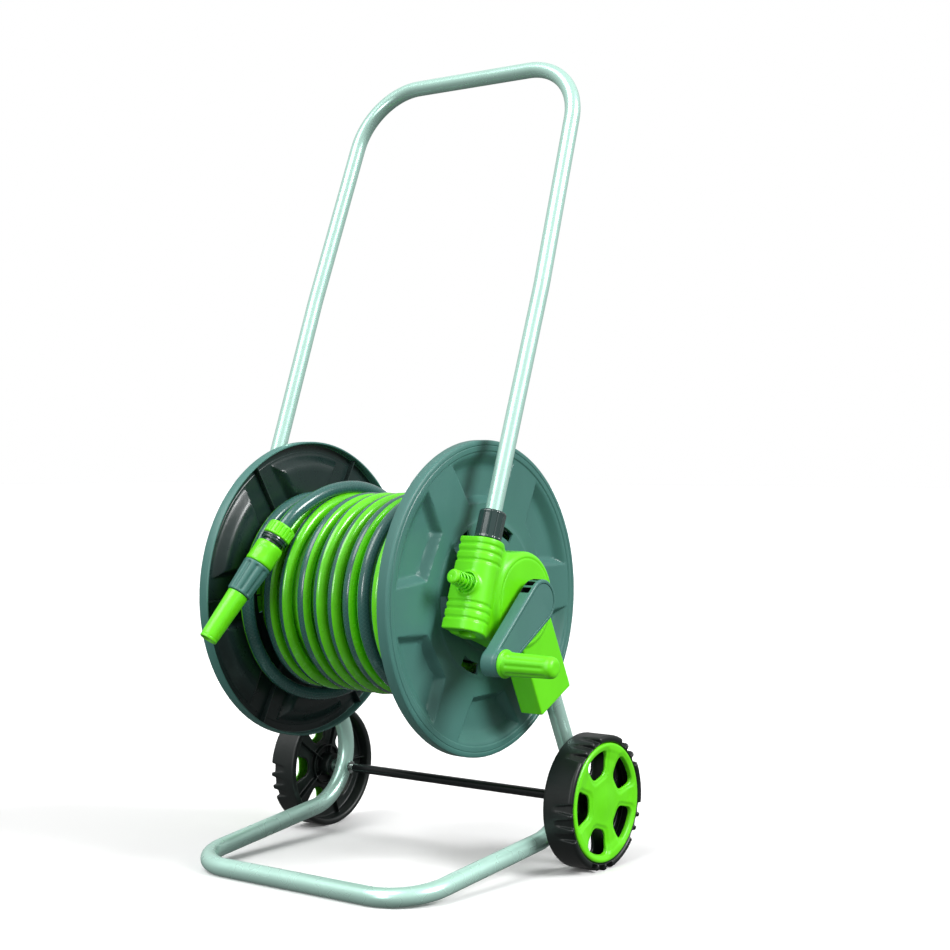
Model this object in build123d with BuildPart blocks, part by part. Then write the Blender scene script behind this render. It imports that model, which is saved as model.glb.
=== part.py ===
"""Garden hose reel cart: a two-wheeled tube frame, a turning reel with wound hose, and a sliding handle.

+X runs along the reel axis towards the crank, -Y is the front, +Z is up, and the ground is at z = 0.
The origin lies on the ground in the middle of the cart's footprint. The crank sticks out further than
the inlet does, so the cart's mid-plane is at x = MID_X, and the reel axis is above y = 0.
Every x below that is given to a helper counts from the mid-plane. All lengths are in millimetres.
"""

import math
import os

from build123d import *

os.makedirs("parts", exist_ok=True)

# Layout
MID_X = -29.5
REEL_Z = 336.0
SIDES = (("right", 1), ("left", -1))

# Tube frame
BASE_OD = 22.0
BASE_ID = 19.0
FRONT_Y = -181.0
FRONT_X = 173.0
UPRIGHT_X = 185.0
REAR_BEND = 75.0
FRONT_BEND = 62.0
UPRIGHT_TILT = 26.0
AXLE_Y = 118.0
AXLE_Z = 82.5

# Handle
HANDLE_TILT = 20.0
HANDLE_N = 72.0
STEM_X = 184.0
STEM_OD = 20.0
STEM_ID = 17.0
STEM_BOTTOM = -45.0
STEM_TOP = 368.0
BOW_TOP = 688.0
BOW_TOP_X = 173.0
BOW_BEND = 85.0
SLIDE_BORE = 10.08

# Bearing housings
HUB_R = 58.0
HUB_IN = 163.0
HUB_OUT = 204.0
WALL = 4.0
BLOCK_OUT = 200.5
SOCKET_R = 20.5
SOCKET_BOTTOM = -61.0
SOCKET_TOP = 50.0
SOCKET_IN = 160.0
BUSH_R = 14.0
PIN_S = -7.0
COLLAR_TOP = 86.0
COVER_SCREWS = 38.0

# Reel
FLANGE_R = 190.0
FLANGE_OUT = 148.0
FLANGE_WALL = 2.5
LIP = 15.0
CORE_R = 76.0
CORE_WALL = 2.5
SHAFT_R = 11.0
SCREW_CIRCLE = 64.0
OUTLET_X = 119.0
OUTLET_R = 50.0

# Hose
HOSE_D = 16.5
PACK_HALF = 131.0
PACK_R = 125.6
TOP_LAYER_R = 142.3
TOP_LAYER_X = -110.0

# Crank
CRANK_R = 108.0
CRANK_ANGLE = 216.5
ARM_IN = 211.5
ARM_OUT = 229.0
ARM_HUB_R = 26.0
ARM_BOSS_R = 15.5
GRIP_IN = 234.4
GRIP_OUT = 305.0

# Wheels
WHEEL_R = 82.5
WHEEL_IN = 202.0
WHEEL_OUT = 243.0
CAP_R = 73.0
AXLE_R = 4.0
RUN = 0.06

# Nozzle, from the nut's open end to the tip, each as (x, y, z)
NOZZLE_FOOT = (-78.0, -115.0, 420.3)
NOZZLE_TIP = (-110.0, -210.7, 289.0)


# Places and planes
def place(x, y, z):
    """A point, with x counted from the mid-plane."""
    return Vector(MID_X + x, y, z)


def polar(radius, degrees):
    """A point on a plane across the reel axis, with the angle counted from the back towards the top."""
    angle = math.radians(degrees)
    return (radius * math.cos(angle), radius * math.sin(angle))


def across(x, y=0.0, z=REEL_Z):
    """A plane facing +X. Its own x runs to the back and its y runs up."""
    return Plane(origin=place(x, y, z), x_dir=(0, 1, 0), z_dir=(1, 0, 0))


def lathe(y=0.0, z=REEL_Z):
    """A plane for profiles that turn about an axis along X. Its own x is the cart's, its y the radius."""
    return Plane(origin=place(0, y, z), x_dir=(1, 0, 0), z_dir=(0, -1, 0))


def lathe_axis(y=0.0, z=REEL_Z):
    return Axis(place(0, y, z), (1, 0, 0))


SIN_H = math.sin(math.radians(HANDLE_TILT))
COS_H = math.cos(math.radians(HANDLE_TILT))
HANDLE_UP = Vector(0, SIN_H, COS_H)
HANDLE_FRONT = Vector(0, -COS_H, SIN_H)
MID = Plane(origin=place(0, 0, 0), x_dir=(0, 1, 0), z_dir=(1, 0, 0))


def on_handle(x, s, n=HANDLE_N):
    """A point s up along the handle's slope and n in front of it, counted from the reel axis."""
    return place(x, 0, REEL_Z) + HANDLE_UP * s + HANDLE_FRONT * n


def handle_plane(s, x=STEM_X, n=HANDLE_N):
    """A plane across the handle tube. Its own x is the cart's and its y runs to the back."""
    return Plane(origin=on_handle(x, s, n), x_dir=(1, 0, 0), z_dir=HANDLE_UP)


def pin_plane(n):
    """A plane across the lock pin, which faces the front."""
    return Plane(origin=on_handle(STEM_X, PIN_S, n), x_dir=(1, 0, 0), z_dir=HANDLE_FRONT)


SIN_U = math.sin(math.radians(UPRIGHT_TILT))
COS_U = math.cos(math.radians(UPRIGHT_TILT))


def block_point(t, v):
    """A point in the block's own directions, as (y, z): t across it to the back, v down along it."""
    return (t * COS_U + v * SIN_U, t * SIN_U - v * COS_U)


def nozzle_plane(distance):
    """A plane across the nozzle, at a distance from the nut's open end."""
    foot = place(*NOZZLE_FOOT)
    direction = (place(*NOZZLE_TIP) - foot).normalized()
    return Plane(origin=foot + direction * distance, x_dir=(1, 0, 0), z_dir=direction)


NOZZLE_DIR = (place(*NOZZLE_TIP) - place(*NOZZLE_FOOT)).normalized()
NOZZLE_AXIS = Axis(place(*NOZZLE_FOOT), NOZZLE_DIR)
NOZZLE_SIDE = Vector(1, 0, 0).cross(NOZZLE_DIR).normalized()
NOZZLE_LATHE = Plane(origin=place(*NOZZLE_FOOT), x_dir=NOZZLE_DIR, z_dir=NOZZLE_SIDE.cross(NOZZLE_DIR))


def save(part, label):
    part.label = label
    export_step(part, f"parts/{label}.step")


def flip(sign):
    """Turns a piece made for the right side into the left one."""
    if sign < 0:
        mirror(about=MID, mode=Mode.REPLACE)


def turned(profile, plane, axis):
    """Adds the ring that a closed outline of (x, radius) points makes about the axis."""
    with BuildSketch(plane) as section:
        with BuildLine():
            Polyline(*profile, close=True)
        make_face()
    revolve(section.sketch, axis=axis)


def ring(x0, x1, r_in, r_out, y=0.0, z=REEL_Z, mode=Mode.ADD):
    """Adds a plain ring, or a disc when r_in is 0, along X from x0 to x1."""
    with BuildSketch(across(x0, y, z)) as section:
        Circle(r_out)
        if r_in > 0:
            Circle(r_in, mode=Mode.SUBTRACT)
    extrude(section.sketch, amount=x1 - x0, mode=mode)


# The tube frame
def make_base_tube():
    """One tube: two uprights, rear bends, rising arms and the front bar on the ground."""
    top = block_point(20.3, 75.0)
    corner_y = 162.8
    corner_z = 48.7
    right = [
        place(UPRIGHT_X, top[0], REEL_Z + top[1]),
        place(UPRIGHT_X, corner_y, corner_z),
        place(FRONT_X, FRONT_Y, BASE_OD / 2),
    ]
    left = [Vector(2 * MID_X - point.X, point.Y, point.Z) for point in reversed(right)]
    with BuildPart() as base_tube:
        with BuildLine() as path:
            FilletPolyline(*right, *left, radius=[REAR_BEND, FRONT_BEND, FRONT_BEND, REAR_BEND])
        with BuildSketch(path.line ^ 0):
            Circle(BASE_OD / 2)
            Circle(BASE_ID / 2, mode=Mode.SUBTRACT)
        sweep()
        ring(-UPRIGHT_X - 20, UPRIGHT_X + 20, 0, AXLE_R + RUN, AXLE_Y, AXLE_Z, Mode.SUBTRACT)
        for v in (88.0, 122.0):
            y, z = block_point(20.3, v)
            ring(-UPRIGHT_X - 6, UPRIGHT_X + 6, 0, 2.0, y, REEL_Z + z, Mode.SUBTRACT)
    save(base_tube.part, "base_tube")


def make_axle_group():
    """The axle rod runs through both rear bends. A tube sleeve, washers and push nuts sit on it."""
    with BuildPart() as axle:
        ring(-237.0, 237.0, 0, AXLE_R, AXLE_Y, AXLE_Z)
        chamfer(axle.faces().filter_by(Axis.X).edges(), 0.8)
    save(axle.part, "axle")

    with BuildPart() as axle_sleeve:
        ring(-164.0, 164.0, AXLE_R + RUN, 6.0, AXLE_Y, AXLE_Z)
    save(axle_sleeve.part, "axle_sleeve")

    with BuildPart() as axle_washers:
        for sign in (1, -1):
            with BuildSketch(across(sign * 170.0, AXLE_Y, AXLE_Z)):
                Circle(8.5)
                with PolarLocations(8.8, 10):
                    Circle(1.4, mode=Mode.SUBTRACT)
                Circle(AXLE_R + RUN, mode=Mode.SUBTRACT)
            extrude(amount=sign * 1.2)
            ring(sign * 198.0, sign * 200.5, AXLE_R + RUN, 9.0, AXLE_Y, AXLE_Z)
    save(axle_washers.part, "axle_washers")

    with BuildPart() as push_nuts:
        for sign in (1, -1):
            ring(sign * 231.5, sign * 233.5, AXLE_R, 8.0, AXLE_Y, AXLE_Z)
    save(push_nuts.part, "push_nuts")


# The handle
def make_bow():
    """The upper tube. Its ends step down to plug into the lower tubes."""
    plug_depth = 38.0
    right = [(STEM_X, STEM_TOP), (STEM_X, STEM_TOP + 9), (BOW_TOP_X, BOW_TOP)]
    points = [on_handle(x, s) for x, s in right] + [on_handle(-x, s) for x, s in reversed(right)]
    with BuildPart() as handle_bow:
        with BuildLine() as path:
            FilletPolyline(*points, radius=[400, BOW_BEND, BOW_BEND, 400])
        with BuildSketch(path.line ^ 0):
            Circle(STEM_OD / 2)
            Circle(STEM_ID / 2, mode=Mode.SUBTRACT)
        sweep()
        for sign in (1, -1):
            with BuildSketch(handle_plane(STEM_TOP - plug_depth, x=sign * STEM_X)):
                Circle(STEM_ID / 2 - 0.1)
                Circle(STEM_ID / 2 - 1.6, mode=Mode.SUBTRACT)
            extrude(amount=plug_depth)
            with BuildSketch(handle_plane(STEM_TOP, x=sign * STEM_X)):
                Circle(STEM_ID / 2 + 0.2)
                Circle(STEM_ID / 2 - 1.6, mode=Mode.SUBTRACT)
            extrude(amount=2.0)
    save(handle_bow.part, "handle_bow")


def make_stem(side, sign):
    """A lower tube, with the hole that the lock pin enters."""
    with BuildPart() as stem:
        with BuildSketch(handle_plane(STEM_BOTTOM)):
            Circle(STEM_OD / 2)
            Circle(STEM_ID / 2, mode=Mode.SUBTRACT)
        extrude(amount=STEM_TOP - STEM_BOTTOM)
        with BuildSketch(pin_plane(HANDLE_N)):
            Circle(4.5)
        extrude(amount=STEM_OD, mode=Mode.SUBTRACT)
        flip(sign)
    save(stem.part, f"{side}_stem")


def make_stem_plugs():
    """The plugs that close the bottom ends of the lower tubes."""
    with BuildPart() as stem_plugs:
        for sign in (1, -1):
            with BuildSketch(handle_plane(STEM_BOTTOM - 2, x=sign * STEM_X)):
                Circle(STEM_OD / 2 - 0.3)
            extrude(amount=2.0)
            with BuildSketch(handle_plane(STEM_BOTTOM, x=sign * STEM_X)):
                Circle(STEM_ID / 2 - 0.05)
            extrude(amount=12.0)
    save(stem_plugs.part, "stem_plugs")


# The bearing housings
def socket_outline(shrink=0.0):
    """A round front with a straight-sided back that reaches inboard."""
    radius = SOCKET_R - shrink
    depth = STEM_X - SOCKET_IN - shrink
    Circle(radius)
    with Locations((-depth / 2, 0)):
        Rectangle(depth, 2 * radius)


def housing_blank():
    """The bearing housing's outer shape, with a rounded rim."""
    with BuildPart() as housing:
        ring(HUB_IN, HUB_OUT, 0, HUB_R)
        rim = housing.faces().sort_by(Axis.X)[-1]
        fillet(rim.edges(), 6.0)
    return housing.part


def block_blank():
    """The block round the base tube's upper end, with rounded corners and edges."""
    with BuildPart() as block:
        with BuildSketch(across(169.0)):
            with BuildLine():
                Polyline(*block_outline(), close=True)
            make_face()
        extrude(amount=BLOCK_OUT - 169.0)
        across_edges = block.edges().filter_by(Axis.X).sort_by(Axis.Z)
        fillet(across_edges[:2], 5.0)
        fillet(block.faces().sort_by(Axis.X)[-1].edges(), 1.5)
    return block.part


def make_bracket(side, sign):
    """A housing that joins the handle socket, the reel's bearing and the base tube's socket."""
    housing = housing_blank()
    block = block_blank()
    with BuildPart() as bracket:
        # Handle socket, with shallow grooves round it
        with BuildSketch(handle_plane(SOCKET_BOTTOM)):
            socket_outline()
        extrude(amount=SOCKET_TOP - SOCKET_BOTTOM)
        for s in (38.0, 21.0, -29.0, -46.0):
            with BuildSketch(handle_plane(s - 1.4)):
                socket_outline(-2.0)
                socket_outline_cut(0.9)
            extrude(amount=2.8, mode=Mode.SUBTRACT)

        # Web between the socket and the housing
        with BuildSketch(across(HUB_IN)):
            with BuildLine():
                Polyline(*web_outline(), close=True)
            make_face()
        extrude(amount=32.0)
        add(housing)
        add(block)

        # Boss round the lock pin
        with BuildSketch(pin_plane(HANDLE_N + 14.0)):
            Circle(14.2)
        extrude(amount=8.5)

        # Hollow of the bearing housing, with its boss and ribs
        ring(HUB_IN - 1, HUB_OUT - WALL, 0, HUB_R - 5.5, mode=Mode.SUBTRACT)
        with BuildSketch(across(HUB_OUT - WALL)):
            Circle(BUSH_R + 4)
            with PolarLocations(0, 6, start_angle=40):
                Rectangle(2 * HUB_R - 9, 2.2)
            Circle(HUB_R - 5, mode=Mode.INTERSECT)
        extrude(amount=-26.0)
        with BuildSketch(across(HUB_OUT - WALL)):
            with PolarLocations(COVER_SCREWS, 3, start_angle=40):
                Circle(4.5)
        extrude(amount=HUB_IN + WALL - HUB_OUT)
        with BuildSketch(across(HUB_IN)):
            with PolarLocations(COVER_SCREWS, 3, start_angle=40):
                Circle(1.52)
        extrude(amount=14.0, mode=Mode.SUBTRACT)
        ring(HUB_IN - 5, HUB_OUT + 1, 0, BUSH_R, mode=Mode.SUBTRACT)

        # Bores for the handle tube, the lock pin and its spring
        with BuildSketch(handle_plane(SOCKET_BOTTOM - 1)):
            Circle(SLIDE_BORE)
        extrude(amount=SOCKET_TOP - SOCKET_BOTTOM + 2, mode=Mode.SUBTRACT)
        with BuildSketch(handle_plane(SOCKET_TOP)):
            Circle(13.0)
            Circle(SLIDE_BORE, mode=Mode.SUBTRACT)
        extrude(amount=12.0)
        with BuildSketch(pin_plane(HANDLE_N)):
            Circle(4.0 + RUN)
        extrude(amount=24.0, mode=Mode.SUBTRACT)
        with BuildSketch(pin_plane(HANDLE_N + 18.5)):
            Circle(12.4)
            Circle(5.6, mode=Mode.SUBTRACT)
        extrude(amount=6.0, mode=Mode.SUBTRACT)

        # Socket for the base tube, with its screw holes
        y, z = block_point(20.3, 150.0)
        foot = Plane(origin=place(UPRIGHT_X, y, REEL_Z + z), x_dir=(1, 0, 0), z_dir=(0, -SIN_U, COS_U))
        with BuildSketch(foot):
            Circle(BASE_OD / 2 + 0.1)
        extrude(amount=75.0, mode=Mode.SUBTRACT)
        for v in (88.0, 122.0):
            y, z = block_point(20.3, v)
            ring(168.0, BLOCK_OUT - WALL, 0, 2.05, y, REEL_Z + z, Mode.SUBTRACT)
        flip(sign)
    save(bracket.part, f"{side}_bracket")


def socket_outline_cut(shrink):
    """Takes the socket's outline away from a larger one, which leaves a narrow band."""
    radius = SOCKET_R - shrink
    depth = STEM_X - SOCKET_IN + 4.0
    Circle(radius, mode=Mode.SUBTRACT)
    with Locations((-depth / 2, 0)):
        Rectangle(depth, 2 * radius, mode=Mode.SUBTRACT)


def slope_point(s, n):
    """A point in the handle's own directions, as (y, z) from the reel axis."""
    return (s * SIN_H - n * COS_H, s * COS_H + n * SIN_H)


def web_outline():
    """The web's corners: level with the socket's bottom, and curving into the housing at the top."""
    return [
        slope_point(SOCKET_BOTTOM, HANDLE_N),
        slope_point(47.0, HANDLE_N),
        slope_point(47.0, 53.0),
        slope_point(45.0, 45.0),
        slope_point(45.0, 34.0),
        slope_point(0.0, 0.0),
        slope_point(SOCKET_BOTTOM, -18.0),
    ]


def block_outline():
    return [
        block_point(-26.5, 10.0),
        block_point(41.5, 10.0),
        block_point(41.5, 144.0),
        block_point(-26.5, 144.0),
    ]


def make_bracket_cover(side, sign):
    """The round cover on the housing's inner side, with a lip that locates it."""
    with BuildPart() as cover:
        ring(HUB_IN - 3, HUB_IN - 0.05, BUSH_R, HUB_R - 6.0)
        ring(HUB_IN - 0.1, HUB_IN + 3, HUB_R - 8.5, HUB_R - 5.8)
        with BuildSketch(across(HUB_IN - 4)):
            with PolarLocations(COVER_SCREWS, 3, start_angle=40):
                Circle(1.7)
        extrude(amount=6.0, mode=Mode.SUBTRACT)
        flip(sign)
    save(cover.part, f"{side}_bracket_cover")


def make_bush(side, sign):
    """The bearing bush, with a thrust collar on the inner side."""
    with BuildPart() as bush:
        ring(HUB_IN - 2, HUB_OUT - 1, SHAFT_R + RUN, BUSH_R - 0.02)
        ring(HUB_IN - 5, HUB_IN - 3.05, SHAFT_R + RUN, BUSH_R + 3)
        ring(HUB_IN - 3.05, HUB_IN - 2, SHAFT_R + RUN, BUSH_R - 0.02)
        flip(sign)
    save(bush.part, f"{side}_bush")


def screw(plane, head_r, head_h, shank_r, shank_l):
    """A round-headed screw with a cross recess. Its head stands on the plane and its shank goes below."""
    with BuildSketch(plane) as head:
        Circle(head_r)
    extrude(head.sketch, amount=head_h)
    with BuildSketch(plane.offset(head_h)) as recess:
        Rectangle(head_r * 1.1, head_r * 0.24)
        Rectangle(head_r * 0.24, head_r * 1.1)
    extrude(recess.sketch, amount=-head_h * 0.55, mode=Mode.SUBTRACT)
    with BuildSketch(plane) as shank:
        Circle(shank_r)
    extrude(shank.sketch, amount=-shank_l)


def make_frame_screws():
    """Screws from the inner side: two through each upright, and three in each cover."""
    with BuildPart() as tube_screws:
        for sign in (1, -1):
            for v in (88.0, 122.0):
                y, z = block_point(20.3, v)
                head = Plane(
                    origin=place(sign * 169.0, y, REEL_Z + z), x_dir=(0, 1, 0), z_dir=(-sign, 0, 0)
                )
                screw(head, 4.2, 2.4, 1.95, 24.0)
    save(tube_screws.part, "tube_screws")

    with BuildPart() as cover_screws:
        for sign in (1, -1):
            for angle in (40.0, 160.0, 280.0):
                y, z = polar(COVER_SCREWS, angle)
                head = Plane(
                    origin=place(sign * (HUB_IN - 3.0), y, REEL_Z + z),
                    x_dir=(0, 1, 0),
                    z_dir=(-sign, 0, 0),
                )
                screw(head, 3.4, 1.9, 1.5, 15.0)
    save(cover_screws.part, "cover_screws")


def make_collar(side, sign):
    """The fluted clamping collar on the socket's spigot."""
    with BuildPart() as collar:
        with BuildSketch(handle_plane(SOCKET_TOP + 0.3)):
            Circle(16.2)
            with PolarLocations(17.0, 14):
                Circle(1.9, mode=Mode.SUBTRACT)
            Circle(10.35, mode=Mode.SUBTRACT)
        extrude(amount=COLLAR_TOP - SOCKET_TOP - 0.3)
        with BuildSketch(handle_plane(SOCKET_TOP)):
            Circle(13.0 + RUN)
        extrude(amount=12.4, mode=Mode.SUBTRACT)
        flip(sign)
    save(collar.part, f"{side}_collar")


def make_lock_pin(side, sign):
    """The press button with its pin, and the cone-shaped spring under its head."""
    with BuildPart() as lock_pin:
        with BuildSketch(pin_plane(HANDLE_N + 10.5)):
            Circle(4.0)
        extrude(amount=36.0)
        with BuildSketch(pin_plane(HANDLE_N + 46.0)):
            Circle(8.6)
        extrude(amount=4.5)
        fillet(lock_pin.edges().group_by(lambda edge: edge.length)[-1], 0.8)
        flip(sign)
    save(lock_pin.part, f"{side}_lock_pin")

    with BuildPart() as spring:
        with BuildLine() as coil:
            Helix(
                pitch=6.0,
                height=24.2,
                radius=7.0,
                center=on_handle(STEM_X, PIN_S, HANDLE_N + 44.8),
                direction=-HANDLE_FRONT,
                cone_angle=8.0,
            )
        with BuildSketch(coil.line ^ 0):
            Circle(1.05)
        sweep()
        flip(sign)
    save(spring.part, f"{side}_pin_spring")


# The reel
def flange_pocket(outer_r, inner_r, half_outer, half_inner, turn):
    """A recess outline: an arc outside, straight sides, and a straight inner edge."""
    outer = [polar(outer_r, turn + angle) for angle in (half_outer, 0, -half_outer)]
    inner = [polar(inner_r, turn + angle) for angle in (-half_inner, half_inner)]
    with BuildLine() as outline:
        ThreePointArc(*outer)
        Line(outer[2], inner[0])
        Line(inner[0], inner[1])
        Line(inner[1], outer[0])
    make_face(outline.edges())


def make_flange(side, sign):
    """A dished disc with a rolled rim, six recesses, ribs between them and slots near the hub."""
    with BuildPart() as flange:
        face = FLANGE_OUT - FLANGE_WALL
        ring(face, FLANGE_OUT, 0, FLANGE_R)
        ring(FLANGE_OUT - LIP, FLANGE_OUT, FLANGE_R - 3.0, FLANGE_R)
        rim = flange.faces().filter_by(Axis.X).sort_by(Axis.X)[-1]
        fillet(rim.edges(), 2.4)
        for k in range(6):
            turn = 92.0 + 60.0 * k
            with BuildSketch(across(FLANGE_OUT - 1.0)):
                flange_pocket(175.0, 117.0, 21.5, 15.5, turn)
                fillet(sketch_corners(), 3.0)
            extrude(amount=-12.5, taper=26)
        for k in range(6):
            turn = 92.0 + 60.0 * k
            with BuildSketch(across(FLANGE_OUT + 0.01)):
                flange_pocket(172.5, 119.5, 21.0, 15.0, turn)
                fillet(sketch_corners(), 3.0)
            extrude(amount=-11.0, taper=26, mode=Mode.SUBTRACT)
        with BuildSketch(across(face)):
            with PolarLocations(137.5, 6, start_angle=122):
                Rectangle(101.0, 2.0)
            Circle(FLANGE_R - 2, mode=Mode.INTERSECT)
        extrude(amount=-8.0)
        with BuildSketch(across(FLANGE_OUT + 1)):
            for k in range(6):
                slot(78.5, 92.0, 11.0, 6.0 + 60.0 * k)
        extrude(amount=-FLANGE_WALL - 2, mode=Mode.SUBTRACT)
        ring(face - 1, FLANGE_OUT + 1, 0, 24.0, mode=Mode.SUBTRACT)
        with BuildSketch(across(FLANGE_OUT + 1)):
            with PolarLocations(SCREW_CIRCLE, 6, start_angle=36):
                Circle(2.3)
        extrude(amount=-FLANGE_WALL - 2, mode=Mode.SUBTRACT)
        flip(sign)
    save(flange.part, f"{side}_flange")


def sketch_corners():
    """The corners of the sketch that is being drawn."""
    return BuildSketch._get_context("sketch_corners").vertices()


def slot(r_in, r_out, half, turn):
    """An arc-shaped opening."""
    outer = [polar(r_out, turn + angle) for angle in (half, 0, -half)]
    inner = [polar(r_in, turn + angle) for angle in (-half, 0, half)]
    with BuildLine() as outline:
        ThreePointArc(*outer)
        Line(outer[2], inner[0])
        ThreePointArc(*inner)
        Line(inner[2], outer[0])
    make_face(outline.edges())


def make_drum_core():
    """The drum under the hose, with end discs, a hose window and bosses for the screws."""
    end_in = FLANGE_OUT - FLANGE_WALL - 5.5
    end_out = FLANGE_OUT - FLANGE_WALL
    with BuildPart() as drum_core:
        ring(-end_out, end_out, CORE_R - CORE_WALL, CORE_R)
        for sign in (1, -1):
            ring(sign * end_in, sign * end_out, SHAFT_R + 0.05, CORE_R - 1)
            with BuildSketch(across(sign * (end_in + 0.5))):
                with PolarLocations(SCREW_CIRCLE, 6, start_angle=36):
                    Circle(5.0)
            extrude(amount=-sign * 11.0)
            with BuildSketch(across(sign * (end_out + 1))):
                with PolarLocations(SCREW_CIRCLE, 6, start_angle=36):
                    Circle(1.9)
            extrude(amount=-sign * 16.0, mode=Mode.SUBTRACT)
        with BuildSketch(across(OUTLET_X - HOSE_D / 2 - 1.5)):
            slot(CORE_R - 6, CORE_R + 4, 50.0, 222.0)
        extrude(amount=HOSE_D + 3.0, mode=Mode.SUBTRACT)
    save(drum_core.part, "drum_core")

    with BuildPart() as flange_screws:
        for sign in (1, -1):
            for k in range(6):
                y, z = polar(SCREW_CIRCLE, 36.0 + 60.0 * k)
                head = Plane(
                    origin=place(sign * FLANGE_OUT, y, REEL_Z + z), x_dir=(0, 1, 0), z_dir=(sign, 0, 0)
                )
                screw(head, 4.0, 2.2, 1.85, 14.0)
    save(flange_screws.part, "flange_screws")


def make_shafts():
    """The crank's shaft on the right, and the hollow shaft that carries the water on the left."""
    inside = FLANGE_OUT - FLANGE_WALL - 5.5
    with BuildPart() as crank_shaft:
        ring(inside - 4.05, inside - 0.05, 0, 30.0)
        ring(inside - 0.1, ARM_IN - 0.4, 0, SHAFT_R)
        with BuildSketch(across(ARM_IN - 0.4)):
            Rectangle(14.0, 14.0)
        extrude(amount=11.0)
        ring(ARM_IN - 4, ARM_IN + 12, 0, 2.5, mode=Mode.SUBTRACT)
    save(crank_shaft.part, "crank_shaft")

    upright = Plane(origin=place(OUTLET_X, 0, REEL_Z), z_dir=(0, 0, 1))
    barb = Plane(origin=place(OUTLET_X, 0, REEL_Z + OUTLET_R), x_dir=(1, 0, 0), z_dir=(0, -1, 0))
    bore_r = 5.0
    with BuildPart() as water_stub:
        ring(-inside + 4.05, -inside + 0.05, 0, 30.0)
        ring(-inside + 20.0, -HUB_OUT + 1.5, 0, SHAFT_R)
        ring(-inside + 10.0, OUTLET_X, 0, 8.5)
        with BuildSketch(upright):
            Circle(8.5)
        extrude(amount=OUTLET_R + 8.5)
        with BuildSketch(barb):
            Circle(8.5)
        extrude(amount=11.0)
        with BuildSketch(barb.offset(11.0)):
            Circle(HOSE_D / 2 - 2.1)
        extrude(amount=22.0)
        ring(-inside + 22.0, -HUB_OUT - 1, 0, 8.0 + RUN, mode=Mode.SUBTRACT)
        ring(-inside + 20.0, OUTLET_X, 0, bore_r, mode=Mode.SUBTRACT)
        with BuildSketch(upright):
            Circle(bore_r)
        extrude(amount=OUTLET_R, mode=Mode.SUBTRACT)
        with BuildSketch(barb):
            Circle(bore_r)
        extrude(amount=35.0, mode=Mode.SUBTRACT)
    save(water_stub.part, "water_stub")


def make_inlet():
    """The hose nipple outside the left housing, and the spigot that seals inside the hollow shaft."""
    face = -HUB_OUT
    seals = (face + 42.5, face + 32.5)
    profile = [(face + 50.0, 5.0), (face + 50.0, 8.0)]
    for seal in seals:
        profile += [(seal + 1.5, 8.0), (seal + 1.5, 6.5), (seal - 1.5, 6.5), (seal - 1.5, 8.0)]
    profile += [
        (face + 0.5, 8.0),
        (face + 0.5, 13.9),
        (face - 0.2, 13.9),
        (face - 0.2, 24.0),
        (face - 5.0, 24.0),
        (face - 6.0, 23.0),
        (face - 6.0, 11.5),
        (-222.0, 11.5),
        (-222.0, 9.0),
        (-226.0, 8.0),
        (-228.0, 8.0),
        (-230.0, 8.8),
        (-233.0, 8.8),
        (-233.0, 7.0),
        (-236.0, 7.0),
        (-236.0, 8.5),
        (-245.0, 8.5),
        (-246.0, 7.5),
        (-246.0, 5.0),
    ]
    with BuildPart() as inlet_fitting:
        turned(profile, lathe(), lathe_axis())
    save(inlet_fitting.part, "inlet_fitting")

    with BuildPart() as inlet_orings:
        for x, radius in ((seals[0], 7.25), (seals[1], 7.25), (-234.5, 7.75)):
            with BuildSketch(lathe()):
                with Locations((x, radius)):
                    Circle(0.74)
            revolve(axis=lathe_axis())
    save(inlet_orings.part, "inlet_orings")


# The crank
def arm_outline(inset=0.0):
    """A long drop shape from the shaft's centre to the grip's boss."""
    with BuildSketch(Plane.XY, mode=Mode.PRIVATE) as outline:
        Circle(ARM_HUB_R - inset)
        with Locations(polar(CRANK_R, CRANK_ANGLE)):
            Circle(ARM_BOSS_R - inset)
        make_hull()
    add(outline.sketch)


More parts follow.
